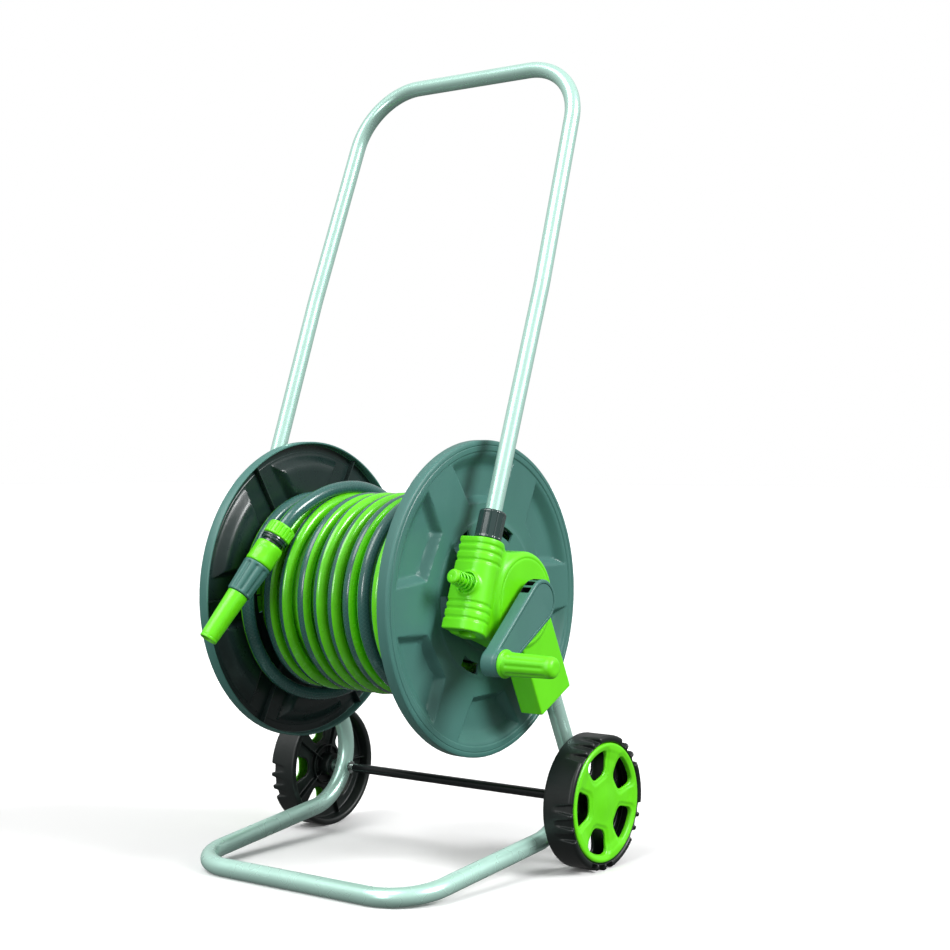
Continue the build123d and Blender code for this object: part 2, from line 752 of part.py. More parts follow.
def make_crank_arm():
    """The arm, open at the back, with a raised border outside and three slots round its hub end."""
    grip_y, grip_z = polar(CRANK_R, CRANK_ANGLE)
    with BuildPart() as crank_arm:
        with BuildSketch(across(ARM_IN)):
            arm_outline()
        extrude(amount=ARM_OUT - ARM_IN)
        front = crank_arm.faces().filter_by(Axis.X).sort_by(Axis.X)[-1]
        fillet(front.edges(), 2.0)
        ring(ARM_IN - 1, GRIP_IN - 0.4, 0, ARM_BOSS_R, grip_y, REEL_Z + grip_z)
        with BuildSketch(across(ARM_OUT - 1.6)):
            arm_outline(5.0)
            with Locations(polar(CRANK_R, CRANK_ANGLE)):
                Circle(ARM_BOSS_R + 3.0, mode=Mode.SUBTRACT)
        extrude(amount=3.0, mode=Mode.SUBTRACT)
        with BuildSketch(across(ARM_IN)):
            arm_outline(3.0)
            Circle(14.0, mode=Mode.SUBTRACT)
            with Locations(polar(CRANK_R, CRANK_ANGLE)):
                Circle(ARM_BOSS_R - 0.5, mode=Mode.SUBTRACT)
        extrude(amount=ARM_OUT - ARM_IN - 5.0, mode=Mode.SUBTRACT)
        for angle in (92.0, 113.0, 134.0):
            y, z = polar(ARM_HUB_R - 3, angle)
            outward = Vector(0, y, z).normalized()
            side_plane = Plane(
                origin=place(ARM_IN + 7.5, y, REEL_Z + z), x_dir=(1, 0, 0), z_dir=outward
            )
            with BuildSketch(side_plane):
                RectangleRounded(9.0, 6.4, 0.8)
            extrude(amount=8.0, mode=Mode.SUBTRACT)
        with BuildSketch(across(ARM_IN - 1)):
            Rectangle(14.1, 14.1)
        extrude(amount=12.2, mode=Mode.SUBTRACT)
        ring(ARM_IN, ARM_OUT, 0, 2.6, mode=Mode.SUBTRACT)
        ring(ARM_OUT - 5.0, ARM_OUT, 0, 5.5, mode=Mode.SUBTRACT)
        ring(ARM_IN - 2, GRIP_IN, 0, 3.2, grip_y, REEL_Z + grip_z, Mode.SUBTRACT)
    save(crank_arm.part, "crank_arm")

    with BuildPart() as crank_cover:
        with BuildSketch(across(ARM_OUT - 1.55)):
            arm_outline(5.15)
            with Locations(polar(CRANK_R, CRANK_ANGLE)):
                Circle(ARM_BOSS_R + 3.2, mode=Mode.SUBTRACT)
        extrude(amount=0.9)
    save(crank_cover.part, "crank_cover")

    with BuildPart() as crank_screw:
        head = across(ARM_OUT - 5.0)
        screw(head, 5.2, 2.8, 2.45, 12.0)
    save(crank_screw.part, "crank_screw")

    with BuildPart() as crank_pin:
        ring(ARM_IN - 0.5, GRIP_IN - 0.2, 0, 3.15, grip_y, REEL_Z + grip_z)
        ring(GRIP_IN - 0.35, GRIP_OUT - 5.0, 0, AXLE_R, grip_y, REEL_Z + grip_z)
        ring(GRIP_OUT - 5.0, GRIP_OUT - 1.5, 0, 6.6, grip_y, REEL_Z + grip_z)
    save(crank_pin.part, "crank_pin")


def make_crank_grip():
    """The turning grip: a flange, then a slightly tapered body with long flutes."""
    grip_y, grip_z = polar(CRANK_R, CRANK_ANGLE)
    height = REEL_Z + grip_z
    profile = [
        (GRIP_IN, AXLE_R + RUN),
        (GRIP_IN, 15.6),
        (GRIP_IN + 1.0, 16.5),
        (GRIP_IN + 3.4, 16.5),
        (GRIP_IN + 4.4, 15.6),
        (GRIP_IN + 5.0, 13.8),
        (GRIP_OUT - 3.0, 12.4),
        (GRIP_OUT, 10.2),
        (GRIP_OUT, 7.2),
        (GRIP_OUT - 5.3, 7.2),
        (GRIP_OUT - 5.3, AXLE_R + RUN),
    ]
    with BuildPart() as crank_grip:
        turned(profile, lathe(grip_y, height), lathe_axis(grip_y, height))
        with BuildSketch(across(GRIP_IN + 9.0, grip_y, height)):
            with PolarLocations(14.4, 10):
                Circle(2.0)
        extrude(amount=GRIP_OUT - GRIP_IN - 17.0, mode=Mode.SUBTRACT)
    save(crank_grip.part, "crank_grip")


# The wheels
def make_wheel(side, sign):
    """A one-piece tyre and body: barrel, web with openings, and hub."""
    profile = [
        (WHEEL_IN - 1.0, AXLE_R + RUN),
        (WHEEL_OUT - 12.0, AXLE_R + RUN),
        (WHEEL_OUT - 12.0, 14.0),
        (WHEEL_IN + 20.0, 16.0),
        (WHEEL_IN + 20.0, 70.0),
        (WHEEL_OUT - 6.0, 72.5),
        (WHEEL_OUT - 6.0, CAP_R + 0.3),
        (WHEEL_OUT, CAP_R + 0.3),
        (WHEEL_OUT, 78.0),
        (WHEEL_OUT - 4.5, WHEEL_R),
        (WHEEL_IN + 5.0, WHEEL_R),
        (WHEEL_IN, 78.0),
        (WHEEL_IN, 75.5),
        (WHEEL_IN + 16.5, 73.5),
        (WHEEL_IN + 16.5, 16.0),
        (WHEEL_IN - 1.0, 13.0),
    ]
    with BuildPart() as wheel:
        turned(profile, lathe(AXLE_Y, AXLE_Z), lathe_axis(AXLE_Y, AXLE_Z))
        with BuildSketch(across(WHEEL_IN, AXLE_Y, AXLE_Z)):
            for k in range(5):
                slot(30.0, 64.0, 22.0, 180.0 + 72.0 * k)
        extrude(amount=WHEEL_OUT - WHEEL_IN, mode=Mode.SUBTRACT)
        with BuildSketch(across(WHEEL_OUT + 0.5, AXLE_Y, AXLE_Z)):
            for k in range(5):
                for step in (-16.0, 0.0, 16.0):
                    with PolarLocations(WHEEL_R + 0.5, 1, start_angle=190.0 + 72.0 * k + step):
                        Rectangle(8.5, 6.5)
        extrude(amount=-28.0, taper=4.2, mode=Mode.SUBTRACT)
        flip(sign)
    save(wheel.part, f"{side}_wheel")


def make_wheel_cap(side, sign):
    """The coloured face of the wheel: five spokes that swell towards the rim and a closed hub."""
    profile = [
        (WHEEL_OUT - 1.0, 0.0),
        (WHEEL_OUT - 1.4, 16.0),
        (WHEEL_OUT - 2.6, 30.0),
        (WHEEL_OUT - 3.0, 50.0),
        (WHEEL_OUT - 1.0, 64.0),
        (WHEEL_OUT + 0.6, 69.5),
        (WHEEL_OUT, CAP_R),
        (WHEEL_OUT - 5.8, CAP_R),
        (WHEEL_OUT - 6.2, 50.0),
        (WHEEL_OUT - 5.8, 16.0),
        (WHEEL_OUT - 11.5, 15.0),
        (WHEEL_OUT - 11.5, 12.0),
        (WHEEL_OUT - 5.5, 10.0),
        (WHEEL_OUT - 5.5, 0.0),
    ]
    with BuildPart() as wheel_cap:
        turned(profile, lathe(AXLE_Y, AXLE_Z), lathe_axis(AXLE_Y, AXLE_Z))
        with BuildSketch(across(WHEEL_IN, AXLE_Y, AXLE_Z)):
            for k in range(5):
                spoke_gap(180.0 + 72.0 * k)
            fillet(sketch_corners(), 4.0)
        extrude(amount=WHEEL_OUT - WHEEL_IN + 5, mode=Mode.SUBTRACT)
        flip(sign)
    save(wheel_cap.part, f"{side}_wheel_cap")


def spoke_gap(turn):
    """An opening between two spokes: an arc along the rim and sides that meet near the hub."""
    outer = [polar(66.5, turn + angle) for angle in (25.0, 0, -25.0)]
    inner = polar(25.0, turn)
    with BuildLine() as outline:
        ThreePointArc(*outer)
        ThreePointArc(outer[2], polar(38.0, turn - 17.0), inner)
        ThreePointArc(inner, polar(38.0, turn + 17.0), outer[0])
    make_face(outline.edges())


# The hose
def tail_point(radius, degrees, x):
    """A point over the drum, with the angle counted from the top towards the front."""
    angle = math.radians(degrees)
    return place(x, -radius * math.sin(angle), REEL_Z + radius * math.cos(angle))


def make_hose():
    """The wound hose as one solid, and its free end as a tube over it to the nut."""
    pack = [
        (-PACK_HALF, CORE_R + 0.2),
        (PACK_HALF, CORE_R + 0.2),
        (PACK_HALF, PACK_R),
        (TOP_LAYER_X, PACK_R),
        (TOP_LAYER_X, TOP_LAYER_R),
        (-PACK_HALF, TOP_LAYER_R),
    ]
    with BuildPart() as hose_pack:
        turned(pack, lathe(), lathe_axis())
    save(hose_pack.part, "hose_pack")

    route = [
        tail_point(134.5, -62.0, -44.0),
        tail_point(139.3, -36.0, -48.0),
        tail_point(139.3, -9.0, -54.0),
        tail_point(139.6, 17.0, -59.0),
        tail_point(141.5, 38.0, -67.5),
        place(*NOZZLE_FOOT) - NOZZLE_DIR * 12.0,
        place(*NOZZLE_FOOT) + NOZZLE_DIR * 12.0,
    ]
    radii = cord_radii(route)
    with BuildPart() as hose_tail:
        with BuildLine() as path:
            FilletPolyline(*route, radius=radii)
        with BuildSketch(path.line ^ 0):
            Circle(HOSE_D / 2)
        sweep()
    save(hose_tail.part, "hose_tail")
    expected = math.pi * (HOSE_D / 2) ** 2 * path.wires()[0].length
    print("hose tail length", round(path.wires()[0].length, 1), "radii", [round(radius) for radius in radii])
    print("hose tail volume / expected", round(hose_tail.part.volume / expected, 4))
    report_hose_length()


def cord_radii(route):
    """The largest even arcs: 0.45 of the shorter run, divided by the tangent of half the turn."""
    radii = []
    for before, point, after in zip(route, route[1:], route[2:]):
        run_in = point - before
        run_out = after - point
        half_turn = math.radians(run_in.get_angle(run_out) / 2)
        radii.append(0.45 * min(run_in.length, run_out.length) / math.tan(half_turn))
    return radii


def report_hose_length():
    """Adds up the turns that the wound hose's shape holds."""
    turns = (2 * PACK_HALF) / HOSE_D - 0.5
    layers = [CORE_R + HOSE_D * (0.5 + k) for k in range(3)]
    wound = sum(2 * math.pi * radius * turns for radius in layers)
    wound += 2 * math.pi * (PACK_R + HOSE_D / 2) * 2
    print("wound hose length, m:", round(wound / 1000, 1))


def nozzle_ring(profile):
    turned(profile, NOZZLE_LATHE, NOZZLE_AXIS)


def make_connector():
    """The hose connector: a nut, a body with a dark ring, and a sleeve that slides back."""
    with BuildPart() as connector_nut:
        nozzle_ring([(0, 8.6), (0, 15.8), (1.5, 17.3), (16.0, 17.3), (17.2, 16.4), (17.2, 8.6)])
        with BuildSketch(nozzle_plane(3.5)):
            with PolarLocations(18.2, 18):
                Circle(1.6)
        extrude(amount=20.0, mode=Mode.SUBTRACT)
    save(connector_nut.part, "connector_nut")

    with BuildPart() as connector_ring:
        nozzle_ring(
            [
                (17.5, 13.2),
                (17.5, 16.2),
                (20.0, 16.6),
                (20.6, 15.6),
                (21.4, 15.6),
                (22.0, 16.6),
                (24.0, 16.2),
                (24.0, 13.2),
            ]
        )
    save(connector_ring.part, "connector_ring")

    with BuildPart() as connector_body:
        nozzle_ring(
            [
                (12.2, 5.5),
                (12.2, 8.3),
                (17.3, 8.3),
                (17.3, 13.1),
                (56.0, 13.1),
                (56.0, 9.2),
                (30.0, 9.2),
                (28.0, 5.5),
            ]
        )
    save(connector_body.part, "connector_body")

    with BuildPart() as connector_sleeve:
        nozzle_ring(
            [
                (28.5, 13.1 + RUN),
                (28.5, 15.0),
                (28.5, 16.4),
                (30.5, 17.5),
                (42.0, 17.3),
                (55.0, 17.5),
                (57.0, 16.6),
                (57.0, 13.1 + RUN),
            ]
        )
    save(connector_sleeve.part, "connector_sleeve")


def make_nozzle():
    """The spray nozzle: a ribbed body that plugs into the connector, and a barrel that turns."""
    with BuildPart() as nozzle_body:
        nozzle_ring(
            [
                (32.0, 4.5),
                (32.0, 8.3),
                (52.0, 9.1),
                (57.6, 9.1),
                (57.6, 17.2),
                (60.0, 17.4),
                (98.5, 15.4),
                (100.0, 14.4),
                (100.0, 11.06),
                (80.0, 11.06),
                (80.0, 4.5),
            ]
        )
        with BuildSketch(nozzle_plane(61.0)):
            with PolarLocations(18.6, 9):
                Circle(2.4)
        extrude(amount=42.0, taper=2.8, mode=Mode.SUBTRACT)
    save(nozzle_body.part, "nozzle_body")

    with BuildPart() as nozzle_barrel:
        nozzle_ring(
            [
                (80.4, 4.0),
                (80.4, 11.0),
                (100.4, 11.0),
                (100.4, 13.4),
                (165.0, 11.3),
                (166.1, 10.6),
                (166.1, 7.4),
                (140.0, 6.6),
                (140.0, 4.0),
            ]
        )
        nozzle_ring([(139.0, 0.0), (139.0, 3.2), (163.0, 2.4), (163.0, 0.0)])
        with BuildSketch(nozzle_plane(140.0)):
            Rectangle(14.0, 2.0)
        extrude(amount=6.0)
    save(nozzle_barrel.part, "nozzle_barrel")


make_base_tube()
make_axle_group()
make_bow()
make_stem_plugs()
for side_name, side_sign in SIDES:
    make_stem(side_name, side_sign)
    make_bracket(side_name, side_sign)
    make_bracket_cover(side_name, side_sign)
    make_bush(side_name, side_sign)
    make_collar(side_name, side_sign)
    make_lock_pin(side_name, side_sign)
    make_flange(side_name, side_sign)
    make_wheel(side_name, side_sign)
    make_wheel_cap(side_name, side_sign)
make_frame_screws()
make_drum_core()
make_shafts()
make_inlet()
make_crank_arm()
make_crank_grip()
make_hose()
make_connector()
make_nozzle()
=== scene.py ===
"""Garden hose reel cart: the visual model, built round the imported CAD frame.

Lengths are in millimetres until a mesh is made, and every x counts from the cart's mid-plane. The crank is on
the right, at positive x, and the front is at negative y.
"""

import math

import bmesh
import bpy
import numpy as np
import openvdb
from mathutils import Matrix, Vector


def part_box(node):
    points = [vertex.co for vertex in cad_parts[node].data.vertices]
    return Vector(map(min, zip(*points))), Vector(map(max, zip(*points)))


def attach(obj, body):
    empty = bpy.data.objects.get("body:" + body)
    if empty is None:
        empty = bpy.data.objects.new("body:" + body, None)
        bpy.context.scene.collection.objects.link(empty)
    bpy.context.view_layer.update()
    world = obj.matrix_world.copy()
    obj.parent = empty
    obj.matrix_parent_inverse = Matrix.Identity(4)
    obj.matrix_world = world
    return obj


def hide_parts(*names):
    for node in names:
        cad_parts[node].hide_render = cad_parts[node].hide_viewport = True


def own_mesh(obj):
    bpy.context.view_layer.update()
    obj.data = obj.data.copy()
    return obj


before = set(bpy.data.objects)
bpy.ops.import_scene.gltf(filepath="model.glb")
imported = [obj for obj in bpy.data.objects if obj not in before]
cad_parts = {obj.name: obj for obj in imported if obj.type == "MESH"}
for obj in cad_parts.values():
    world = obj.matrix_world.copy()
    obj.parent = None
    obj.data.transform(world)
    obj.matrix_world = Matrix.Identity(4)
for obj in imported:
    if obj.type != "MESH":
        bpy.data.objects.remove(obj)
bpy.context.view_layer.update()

MM = 0.001


def centre(node):
    """The middle of a CAD node's box, in metres."""
    low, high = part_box(node)
    return (low + high) / 2


REEL = centre("drum_core") / MM
WHEEL_CENTRE = centre("right_wheel") / MM
MID_X, REEL_Z = REEL.x, REEL.z
AXLE_Y, AXLE_Z = WHEEL_CENTRE.y, WHEEL_CENTRE.z
SIDES = (("right", 1), ("left", -1))
X = Vector((1, 0, 0))
BACK = Vector((0, 1, 0))


def at(x, y, z):
    """A point in millimetres, with x counted from the mid-plane."""
    return Vector((MID_X + x, y, z))


# The handle leans back. Its tubes lie in front of the reel's axis
HANDLE_TILT = math.radians(20.0)
HANDLE_UP = Vector((0, math.sin(HANDLE_TILT), math.cos(HANDLE_TILT)))
HANDLE_FRONT = Vector((0, -math.cos(HANDLE_TILT), math.sin(HANDLE_TILT)))
HANDLE_N = 72.0
STEM_X = 184.0
# The lock pins lie this far along the slope from the reel's axis
PIN_S = -7.0

# The hose connector and nozzle hang from the free end of the hose
NOZZLE_FOOT = at(-78.0, -115.0, 420.3)
NOZZLE_TIP = at(-110.0, -210.7, 289.0)
NOZZLE_DIR = (NOZZLE_TIP - NOZZLE_FOOT).normalized()

# Wheels, crank, and the plane of each reel disc's outer face
WHEEL_R = 82.5
WHEEL_INNER, WHEEL_OUTER = 202.0, 243.0
SPOKES = 5
FIFTH = 2 * math.pi / SPOKES
DISC_X = 148.0
GRIP_REACH = 108.0
GRIP_ANGLE = math.radians(216.5)
GRIP_Y = GRIP_REACH * math.cos(GRIP_ANGLE)
GRIP_Z = REEL_Z + GRIP_REACH * math.sin(GRIP_ANGLE)


def on_handle(x, s, n=HANDLE_N):
    """A point s up along the handle's slope and n in front of it, counted from the reel axis."""
    return at(x, 0, REEL_Z) + HANDLE_UP * s + HANDLE_FRONT * n


# Materials
def node_material(name):
    """A new material, with its nodes, links and main shader."""
    material = bpy.data.materials.new(name)
    material.use_nodes = True
    nodes = material.node_tree.nodes
    return material, nodes, material.node_tree.links, nodes["Principled BSDF"]


def noise(nodes, links, scale, detail=3.0, stretch=None, roughness=0.5):
    """Noise in the piece's own space, with the scale per metre."""
    coordinates = nodes.new("ShaderNodeTexCoord")
    texture = nodes.new("ShaderNodeTexNoise")
    texture.inputs["Scale"].default_value = scale
    texture.inputs["Detail"].default_value = detail
    texture.inputs["Roughness"].default_value = roughness
    if stretch:
        mapping = nodes.new("ShaderNodeMapping")
        mapping.inputs["Scale"].default_value = stretch
        links.new(coordinates.outputs["Object"], mapping.inputs["Vector"])
        links.new(mapping.outputs["Vector"], texture.inputs["Vector"])
    else:
        links.new(coordinates.outputs["Object"], texture.inputs["Vector"])
    return texture


def spread(nodes, links, value, low, high):
    """Maps noise, most of which lies between 0.3 and 0.7, to a range."""
    ramp = nodes.new("ShaderNodeMapRange")
    ramp.inputs["From Min"].default_value = 0.3
    ramp.inputs["From Max"].default_value = 0.7
    ramp.inputs["To Min"].default_value = low
    ramp.inputs["To Max"].default_value = high
    links.new(value, ramp.inputs["Value"])
    return ramp.outputs["Result"]


def two_colours(nodes, links, factor, dark, light):
    """A colour between two, by a factor."""
    mix = nodes.new("ShaderNodeMix")
    mix.data_type = "RGBA"
    mix.inputs["A"].default_value = (*dark, 1)
    mix.inputs["B"].default_value = (*light, 1)
    links.new(factor, mix.inputs["Factor"])
    return mix.outputs["Result"]


def bumped(nodes, links, height, strength, distance, below=None):
    """A normal with relief, on top of another one's where given."""
    bump = nodes.new("ShaderNodeBump")
    bump.inputs["Strength"].default_value = strength
    bump.inputs["Distance"].default_value = distance
    links.new(height, bump.inputs["Height"])
    if below:
        links.new(below, bump.inputs["Normal"])
    return bump.outputs["Normal"]


def plastic(name, colour, rough, grain=0.25, edge=0.12, coat=0.0):
    """Moulded plastic: fine grain, slow flow marks in colour and gloss, and a paler colour on sharp convex
    edges.
    """
    material, nodes, links, shader = node_material(name)
    flow = noise(nodes, links, 14.0, 4.0, (1.0, 1.0, 0.45))
    dark = [c * 0.93 for c in colour]
    light = [min(1.0, c * 1.06 + 0.002) for c in colour]
    body = two_colours(nodes, links, spread(nodes, links, flow.outputs["Fac"], 0, 1), dark, light)
    # A paler colour where the surface is sharply convex, by pointiness
    geometry = nodes.new("ShaderNodeNewGeometry")
    edge_paling = nodes.new("ShaderNodeMapRange")
    edge_paling.inputs["From Min"].default_value = 0.53
    edge_paling.inputs["From Max"].default_value = 0.62
    edge_paling.inputs["To Max"].default_value = edge
    links.new(geometry.outputs["Pointiness"], edge_paling.inputs["Value"])
    mix = nodes.new("ShaderNodeMix")
    mix.data_type = "RGBA"
    links.new(edge_paling.outputs["Result"], mix.inputs["Factor"])
    links.new(body, mix.inputs["A"])
    mix.inputs["B"].default_value = (*[min(1.0, c * 1.25 + 0.10) for c in colour], 1)
    links.new(mix.outputs["Result"], shader.inputs["Base Color"])
    marks = noise(nodes, links, 60.0, 5.0)
    links.new(
        spread(nodes, links, marks.outputs["Fac"], rough - 0.05, rough + 0.06), shader.inputs["Roughness"]
    )
    fine = noise(nodes, links, 2600.0, 2.0)
    coarse = noise(nodes, links, 420.0, 2.0)
    below = bumped(nodes, links, coarse.outputs["Fac"], grain * 0.5, 0.0002)
    links.new(bumped(nodes, links, fine.outputs["Fac"], grain, 0.0001, below), shader.inputs["Normal"])
    shader.inputs["IOR"].default_value = 1.49
    shader.inputs["Coat Weight"].default_value = coat
    shader.inputs["Coat Roughness"].default_value = 0.18
    return material


def metal(name, colour, rough, metallic=1.0, strength=0.15):
    """Metal or metallic paint with a fine grain and a slow change in tone and gloss."""
    material, nodes, links, shader = node_material(name)
    slow = noise(nodes, links, 9.0, 2.0)
    dark = [c * 0.95 for c in colour]
    tone = two_colours(nodes, links, spread(nodes, links, slow.outputs["Fac"], 0, 1), dark, colour)
    links.new(tone, shader.inputs["Base Color"])
    grain = noise(nodes, links, 500.0, 3.0, (1.0, 1.0, 1.0))
    gloss = noise(nodes, links, 30.0, 2.0)
    links.new(
        spread(nodes, links, gloss.outputs["Fac"], rough - 0.02, rough + 0.02), shader.inputs["Roughness"]
    )
    links.new(bumped(nodes, links, grain.outputs["Fac"], strength, 0.0001), shader.inputs["Normal"])
    shader.inputs["Metallic"].default_value = metallic
    return material


LIME = (0.150, 0.80, 0.004)
TEAL_GREY = (0.060, 0.185, 0.160)

lime = plastic("lime_plastic", LIME, 0.34, 0.15, 0.12, 0.2)
lime_matt = plastic("lime_grip_plastic", (0.14, 0.76, 0.005), 0.40, 0.25, 0.1)
grey = plastic("grey_plastic", TEAL_GREY, 0.40, 0.25, 0.18)
# A darker teal for the reel discs' inner faces: painted shade, not a second plastic
painted_shade_grey = plastic("flange_inside_painted_shade_plastic", (0.010, 0.026, 0.024), 0.30, 0.22, 0.10)
black = plastic("black_plastic", (0.006, 0.011, 0.010), 0.36, 0.3, 0.12)
charcoal = plastic("collar_plastic", (0.014, 0.040, 0.037), 0.16, 0.06, 0.15, 0.8)
tyre_black = plastic("tyre_plastic", (0.0045, 0.0085, 0.0075), 0.42, 0.5, 0.1)
rubber = plastic("seal_rubber", (0.008, 0.009, 0.009), 0.6, 0.4)
silver = metal("silver_tube_paint", (0.58, 0.89, 0.78), 0.27, metallic=0.5, strength=0.008)
steel = metal("zinc_steel", (0.50, 0.56, 0.54), 0.28)
axle_black = metal("black_axle", (0.012, 0.016, 0.016), 0.22, metallic=0.3)

# The finish of each CAD mesh that stays in view
CAD_FINISH = {
    silver: ["base_tube", "handle_bow", "right_stem", "left_stem"],
    steel: [
        "axle", "axle_washers", "push_nuts", "tube_screws", "cover_screws", "flange_screws", "crank_screw",
        "crank_pin",
    ],
    axle_black: ["axle_sleeve"],
    black: ["stem_plugs", "crank_shaft", "water_stub", "right_bush", "left_bush"],
    grey: ["crank_cover", "drum_core"],
    lime: ["right_bracket_cover", "left_bracket_cover", "inlet_fitting"],
    rubber: ["inlet_orings"],
}
for material, names in CAD_FINISH.items():
    for name in names:
        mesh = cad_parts[name].data
        mesh.materials.clear()
        mesh.materials.append(material)


# Mesh helpers
def piece(name, verts, faces, body, material, nodes=(), sharp=35.0):
    """Makes a mesh from millimetre points, sets its shading, and ties it to the frame."""
    mesh = bpy.data.meshes.new(name)
    mesh.from_pydata([tuple(Vector(v) * MM) for v in verts], [], faces)
    work = bmesh.new()
    work.from_mesh(mesh)
    bmesh.ops.remove_doubles(work, verts=work.verts, dist=0.00001)
    bmesh.ops.recalc_face_normals(work, faces=work.faces)
    work.to_mesh(mesh)
    work.free()
    mesh.shade_smooth()
    mesh.set_sharp_from_angle(angle=math.radians(sharp))
    mesh.materials.append(material)
    obj = bpy.data.objects.new(name, mesh)
    bpy.context.scene.collection.objects.link(obj)
    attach(obj, body)
    if nodes:
        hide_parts(*nodes)
    return obj


def loft(loops, closed=True, start=False, end=False):
    """Faces between successive loops of as many points each."""
    count = len(loops[0])
    verts = [point for loop in loops for point in loop]
    faces = []
    for row in range(len(loops) if closed else len(loops) - 1):
        a = row * count
        b = (row + 1) % len(loops) * count
        for k in range(count):
            k2 = (k + 1) % count
            faces.append((a + k, a + k2, b + k2, b + k))
    if start:
        faces.append(tuple(range(count)))
    if end:
        faces.append(tuple(range((len(loops) - 1) * count, len(loops) * count)))
    return verts, faces


def rounded(outline, radius, steps=3):
    """A closed outline with each corner replaced by a small arc. A third number is a corner's own radius."""
    result = []
    count = len(outline)
    for k, corner in enumerate(outline):
        point = Vector(corner[:2])
        before = Vector(outline[k - 1][:2]) - point
        after = Vector(outline[(k + 1) % count][:2]) - point
        size = corner[2] if len(corner) > 2 else radius
        size = min(size, 0.45 * before.length, 0.45 * after.length)
        if size < 0.02:
            result.append(tuple(point))
            continue
        first = point + before.normalized() * size
        last = point + after.normalized() * size
        for step in range(steps + 1):
            t = step / steps
            result.append(tuple(first * (1 - t) ** 2 + point * 2 * t * (1 - t) + last * t * t))
    return result


def lathe(profile, origin, axis, side, segments=96, shape=None):
    """Loops round an axis of a closed profile of (distance along, radius) points."""
    axis = axis.normalized()
    side = (side - axis * side.dot(axis)).normalized()
    other = axis.cross(side)
    loops = []
    for k in range(segments):
        angle = 2 * math.pi * k / segments
        out = side * math.cos(angle) + other * math.sin(angle)
        loop = []
        for along, radius in profile:
            if shape:
                along, radius = shape(along, radius, angle)
            loop.append(origin + axis * along + out * radius)
        loops.append(loop)
    return loft(loops)


def smooth_step(value, low, high):
    """From 0 at low to 1 at high, with a soft start and end."""
    t = np.clip((value - low) / (high - low), 0.0, 1.0)
    return t * t * (3 - 2 * t)


# The hose: layers wound from the barb near the right disc, and a free end over the top
HOSE_D = 16.5
BARB_X = 119.0
HOSE_EXIT = at(BARB_X, 12.0, REEL_Z + 50.0)
# Control points per turn, and how far outside the hose they lie, since the spline cuts its corners
STEPS = 16
STEP = 360.0 / STEPS
SPREAD = 1 / math.cos(math.pi / STEPS)
# The first layer starts at the bottom, and each climb to the next one takes a few points
START = 180.0
CLIMB = 3
# Each layer's radius, first and last x, turns, sideways play, and how much its pitch grows along it
LAYERS = [
    (84.25, BARB_X, -122.0, 14.375, 0.0, 0.0),
    (100.75, -122.0, 122.0, 14.5, 0.0, 0.0),
    (117.25, 122.0, -120.5, 10.3125, 1.4, 0.25),
]
# The last wrap crosses over the outer layer
TOP_R, TOP_STEPS, TOP_SWEEP = 134.4, 9, 208.0
# The free end's radius, angle and x on its way to the connector
FREE_END = [
    (134.6, -62.0, -60.0),
    (134.6, -36.0, -61.0),
    (134.9, -9.0, -63.0),
    (136.4, 17.0, -66.0),
    (140.0, 38.0, -71.5),
]


def wound(x, radius, degrees):
    """A point round the drum, with the angle counted from the top towards the front."""
    angle = math.radians(degrees)
    return at(x, -radius * math.sin(angle), REEL_Z + radius * math.cos(angle))


def hose_points():
    """Control points of the whole hose, from the barb to the connector."""
    points = [HOSE_EXIT]
    lead_r, lead_drop = 67.0, 17.0
    for k in range(STEPS // 2):
        angle = math.radians(STEP * k)
        points.append(
            at(BARB_X, -lead_r * math.sin(angle), REEL_Z - lead_drop + lead_r * math.cos(angle) * SPREAD)
        )
    degrees = START
    for radius, first, last, turns, play, growth in LAYERS:
        count = round(turns * STEPS)
        for k in range(count):
            t = k / count
            t = (1 - growth) * t + growth * t * t
            sway = play * (math.sin(degrees * 0.0131) + 0.8 * math.sin(degrees * 0.0057 + 1.0))
            x = first + (last - first) * t + sway
            points.append(wound(x, radius * SPREAD + 0.35 * abs(sway), degrees))
            degrees += STEP
        for k in range(CLIMB):
            points.append(wound(last, (radius + HOSE_D * (k + 1) / (CLIMB + 1)) * SPREAD, degrees))
            degrees += STEP
    first, last = LAYERS[-1][2], FREE_END[0][2]
    for k in range(TOP_STEPS):
        t = k / TOP_STEPS
        x = first + (last - first) * smooth_step(t, 0.25, 1.0)
        points.append(wound(x, TOP_R * SPREAD, degrees + TOP_SWEEP * t))
    points += [wound(x, radius, angle) for radius, angle, x in FREE_END]
    points.append(NOZZLE_FOOT - NOZZLE_DIR * 12.0)
    points.append(NOZZLE_FOOT + NOZZLE_DIR * 12.0)
    return points


def spline_path(points, resolution):
    """The line of a NURBS spline through these control points, in metres."""
    curve = bpy.data.curves.new("route", "CURVE")
    curve.dimensions = "3D"
    curve.resolution_u = resolution
    spline = curve.splines.new("NURBS")
    spline.points.add(len(points) - 1)
    for point, place in zip(spline.points, points):
        point.co = (*(place * MM), 1.0)
    spline.order_u = 3
    spline.use_endpoint_u = True
    holder = bpy.data.objects.new("route", curve)
    bpy.context.scene.collection.objects.link(holder)
    bpy.context.view_layer.update()
    line = bpy.data.meshes.new_from_object(holder)
    path = [v.co.copy() for v in line.vertices]
    bpy.data.objects.remove(holder)
    bpy.data.meshes.remove(line)
    bpy.data.curves.remove(curve)
    return path


# Which way the green half faces on each outer turn and the free end, in degrees from outwards to the right
GREEN_FACES = [62, 56, 66, -122, 122, 103, 97, 124, 102, 126, -105]
OUTER_START = START + 360.0 * (LAYERS[0][3] + LAYERS[1][3]) + 2 * CLIMB * STEP


